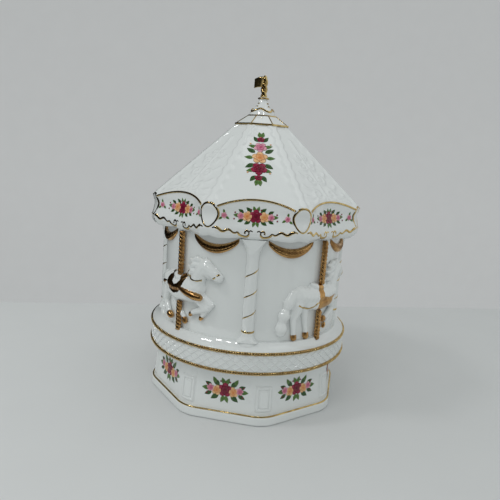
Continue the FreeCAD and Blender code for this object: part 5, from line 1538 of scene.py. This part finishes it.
pedestal = frame["nodes"]["base_pedestal"]
pedestal_points = [pedestal.matrix_world @ v.co for v in pedestal.data.vertices]
PEDESTAL_SKIN = BVHTree.FromPolygons(pedestal_points, [tuple(f.vertices) for f in pedestal.data.polygons])
RAY_FROM = 0.1


def on_pedestal(degrees, across, up, lift):
    """A point on the pedestal: millimetres across from an angle, up from the table and off the wall."""
    turned = math.radians(degrees)
    out = Vector((math.sin(turned), -math.cos(turned), 0))
    side = Vector((math.cos(turned), math.sin(turned), 0))
    start = side * (across * MM) + out * RAY_FROM + Vector((0, 0, up * MM))
    return PEDESTAL_SKIN.ray_cast(start, -out)[0] + out * lift * MM


def pedestal_surface(middle):
    def place(a, u, lift):
        heights, lifts = BASE_SPRAY_Z + u, lift + SPRAY_LIFT
        return [on_pedestal(middle, *spot) for spot in zip(a, heights, lifts)]

    return place


middles = [PANEL * k for k in range(SIDES)]
flowers = [lay_sprays("eave_flowers", EAVE_SPRAY, [eave_surface(m) for m in middles])]
flowers.append(lay_sprays("roof_flowers", ROOF_SPRAY, [slope_surface(m) for m in middles[::2]]))
flowers.append(lay_sprays("pedestal_flowers", BASE_SPRAY, [pedestal_surface(m) for m in middles], "base"))
print("flower faces:", [len(f.data.polygons) for f in flowers])

# %% [markdown]
# One last line runs round the pedestal, where its wall meets the plinth. The same kind of ray finds it.

# %% Line on the pedestal
PLINTH_LINE_Z, PLINTH_SINK, PLINTH_LINE_R = 5.6, 0.45, 0.62
plinth_path = [on_pedestal(degrees, 0, PLINTH_LINE_Z, -PLINTH_SINK) for degrees in range(360)]
plinth = brush("plinth_gilding", [(plinth_path, PLINTH_LINE_R, True)], GOLD_LINE, 0.5, 8, "base")
print("plinth line faces:", len(plinth.data.polygons))

# %% [markdown]
# On the rounded corners of the pedestal the solid has raised frames, each round a panel. On the real
# piece the glaze has filled their edges, so soft rims are laid along the frame and the panel, white on
# white.

# %% Soft frames on the pedestal
FRAME_MIDDLE_Z = 15.6
# Half width, half height, radius and depth under the wall of each rim, in millimetres.
RIMS = ((4.45, 7.15, 0.6, 0.3), (3.75, 6.45, 0.95, 0.78), (2.9, 5.6, 0.6, 0.2), (2.1, 4.8, 0.7, 0.56))


def frame_paths():
    paths = []
    for k in range(SIDES):
        for wide, high, radius, sink in RIMS:
            corners = [(-wide, -high), (wide, -high), (wide, high), (-wide, high), (-wide, -high)]
            path = []
            for (a0, u0), (a1, u1) in zip(corners, corners[1:]):
                for t in np.linspace(0, 1, 16, endpoint=False):
                    across, up = a0 + (a1 - a0) * t, FRAME_MIDDLE_Z + u0 + (u1 - u0) * t
                    path.append(on_pedestal(CORNERS[k], across, up, -sink))
            paths.append((path, radius, True))
    return paths


frames = brush("pedestal_frames", frame_paths(), PORCELAIN, 0.5, 10, "base")
print("frame faces:", len(frames.data.polygons))

# %% [markdown]
# The music box stands on a pale table before a plain pale wall, in even room light. Five small lamps put
# glints on the glaze. Gold shows only what it mirrors, so the room matters more than the lamps: a dark
# screen round the front, which the camera doesn't see, gives the gilt lines their dark side.

# %% Stage and light
LAMP_AIM = Vector((0, 0, 0.08))
ROOM_COLOUR = (0.632, 0.652, 0.647, 1)


def stage_plane(name, corners, finish):
    mesh = bpy.data.meshes.new(name)
    mesh.from_pydata(corners, [], [(0, 1, 2, 3)])
    mesh.materials.append(finish)
    piece = add_object(name, mesh)


def area_light(name, place, size, watts):
    data = bpy.data.lights.new(name, "AREA")
    data.shape = "DISK"
    data.size = size
    data.energy = watts
    lamp = add_object(name, data)
    lamp.location = place
    lamp.rotation_euler = (LAMP_AIM - Vector(place)).to_track_quat("-Z", "Y").to_euler()


def matte(name, white, shade):
    finish = glazed(name, white, shade, 1.0, 0.1)
    finish.node_tree.nodes["Principled BSDF"].inputs["Specular IOR Level"].default_value = 0.0
    return finish


TABLE = matte("table_top", (0.68, 0.695, 0.695), (0.65, 0.665, 0.665))
WALL = matte("wall_board", (0.74, 0.74, 0.745), (0.71, 0.71, 0.715))
CARD_GREYS = (0.02, 0.09, 0.2, 0.34)
CARDS = [matte(f"card_{k}", (grey,) * 3, (grey * 1.3,) * 3) for k, grey in enumerate(CARD_GREYS)]
EDGE_LEFT, EDGE_RIGHT = Vector((-0.243, 0.0835, 0)), Vector((0.174, 0.2485, 0))
WALL_BEHIND, WALL_LOW, WALL_HIGH = 1.2, -1.6, 2.0
TABLE_SPARE = 1.5
edge = (EDGE_RIGHT - EDGE_LEFT).normalized()
behind = Vector((-edge.y, edge.x, 0)) * WALL_BEHIND
far_left, far_right = EDGE_LEFT - edge * TABLE_SPARE, EDGE_RIGHT + edge * TABLE_SPARE
front = Vector((0.9, -2.2, 0))
stage_plane("table", [far_left + front, far_right + front, far_right, far_left], TABLE)
low, high = Vector((0, 0, WALL_LOW)), Vector((0, 0, WALL_HIGH))
left, right = far_left - edge + behind, far_right + edge + behind
stage_plane("wall", [left + low, right + low, right + high, left + high], WALL)
SCREEN_R, SCREEN_HIGH, SCREEN_IN = 0.5, 0.6, 0.2
SCREEN_ROWS = ((SCREEN_IN, 0.001), (SCREEN_R, 0.001), (SCREEN_R, SCREEN_HIGH), (0.04, 1.05))
SCREEN_COLUMNS, SCREEN_FROM, SCREEN_TO = 36, -165, 64
PALE_FROM, PALE_STEP = 26, 2


def stage_screen():
    """A bowed screen, mat and ceiling for the gold to mirror: dark, and paler towards the right end."""
    rows = []
    for radius, height in SCREEN_ROWS:
        turns = np.radians(np.linspace(SCREEN_FROM, SCREEN_TO, SCREEN_COLUMNS))
        rows += [(radius * math.sin(t), -radius * math.cos(t), height) for t in turns]
    mesh = bpy.data.meshes.new("screen")
    faces = grid_faces(len(SCREEN_ROWS), SCREEN_COLUMNS, close_columns=False)
    mesh.from_pydata(rows, [], [tuple(reversed(f)) for f in faces])
    for card in CARDS:
        mesh.materials.append(card)
    strips = [i % (SCREEN_COLUMNS - 1) for i in range(len(faces))]
    cards = [max(0, min(len(CARDS) - 1, (strip - PALE_FROM) // PALE_STEP)) for strip in strips]
    mesh.polygons.foreach_set("material_index", cards)
    screen = add_object("screen", mesh)
    screen.visible_camera = screen.visible_diffuse = screen.visible_shadow = False


stage_screen()
area_light("lamp", (-0.3, -0.22, 0.54), 0.1, 0.42)
for k, across in enumerate((-0.2, -0.11, -0.02)):
    area_light(f"front_lamp_{k}", (across, -0.38, 0.46 + 0.03 * k), 0.045, 0.09)
area_light("right_lamp", (0.14, -0.38, 0.44), 0.04, 0.05)
world = bpy.data.worlds.new("room")
world.use_nodes = True
world.node_tree.nodes["Background"].inputs["Color"].default_value = ROOM_COLOUR
bpy.context.scene.world = world
bpy.context.scene.view_settings.view_transform = "Standard"
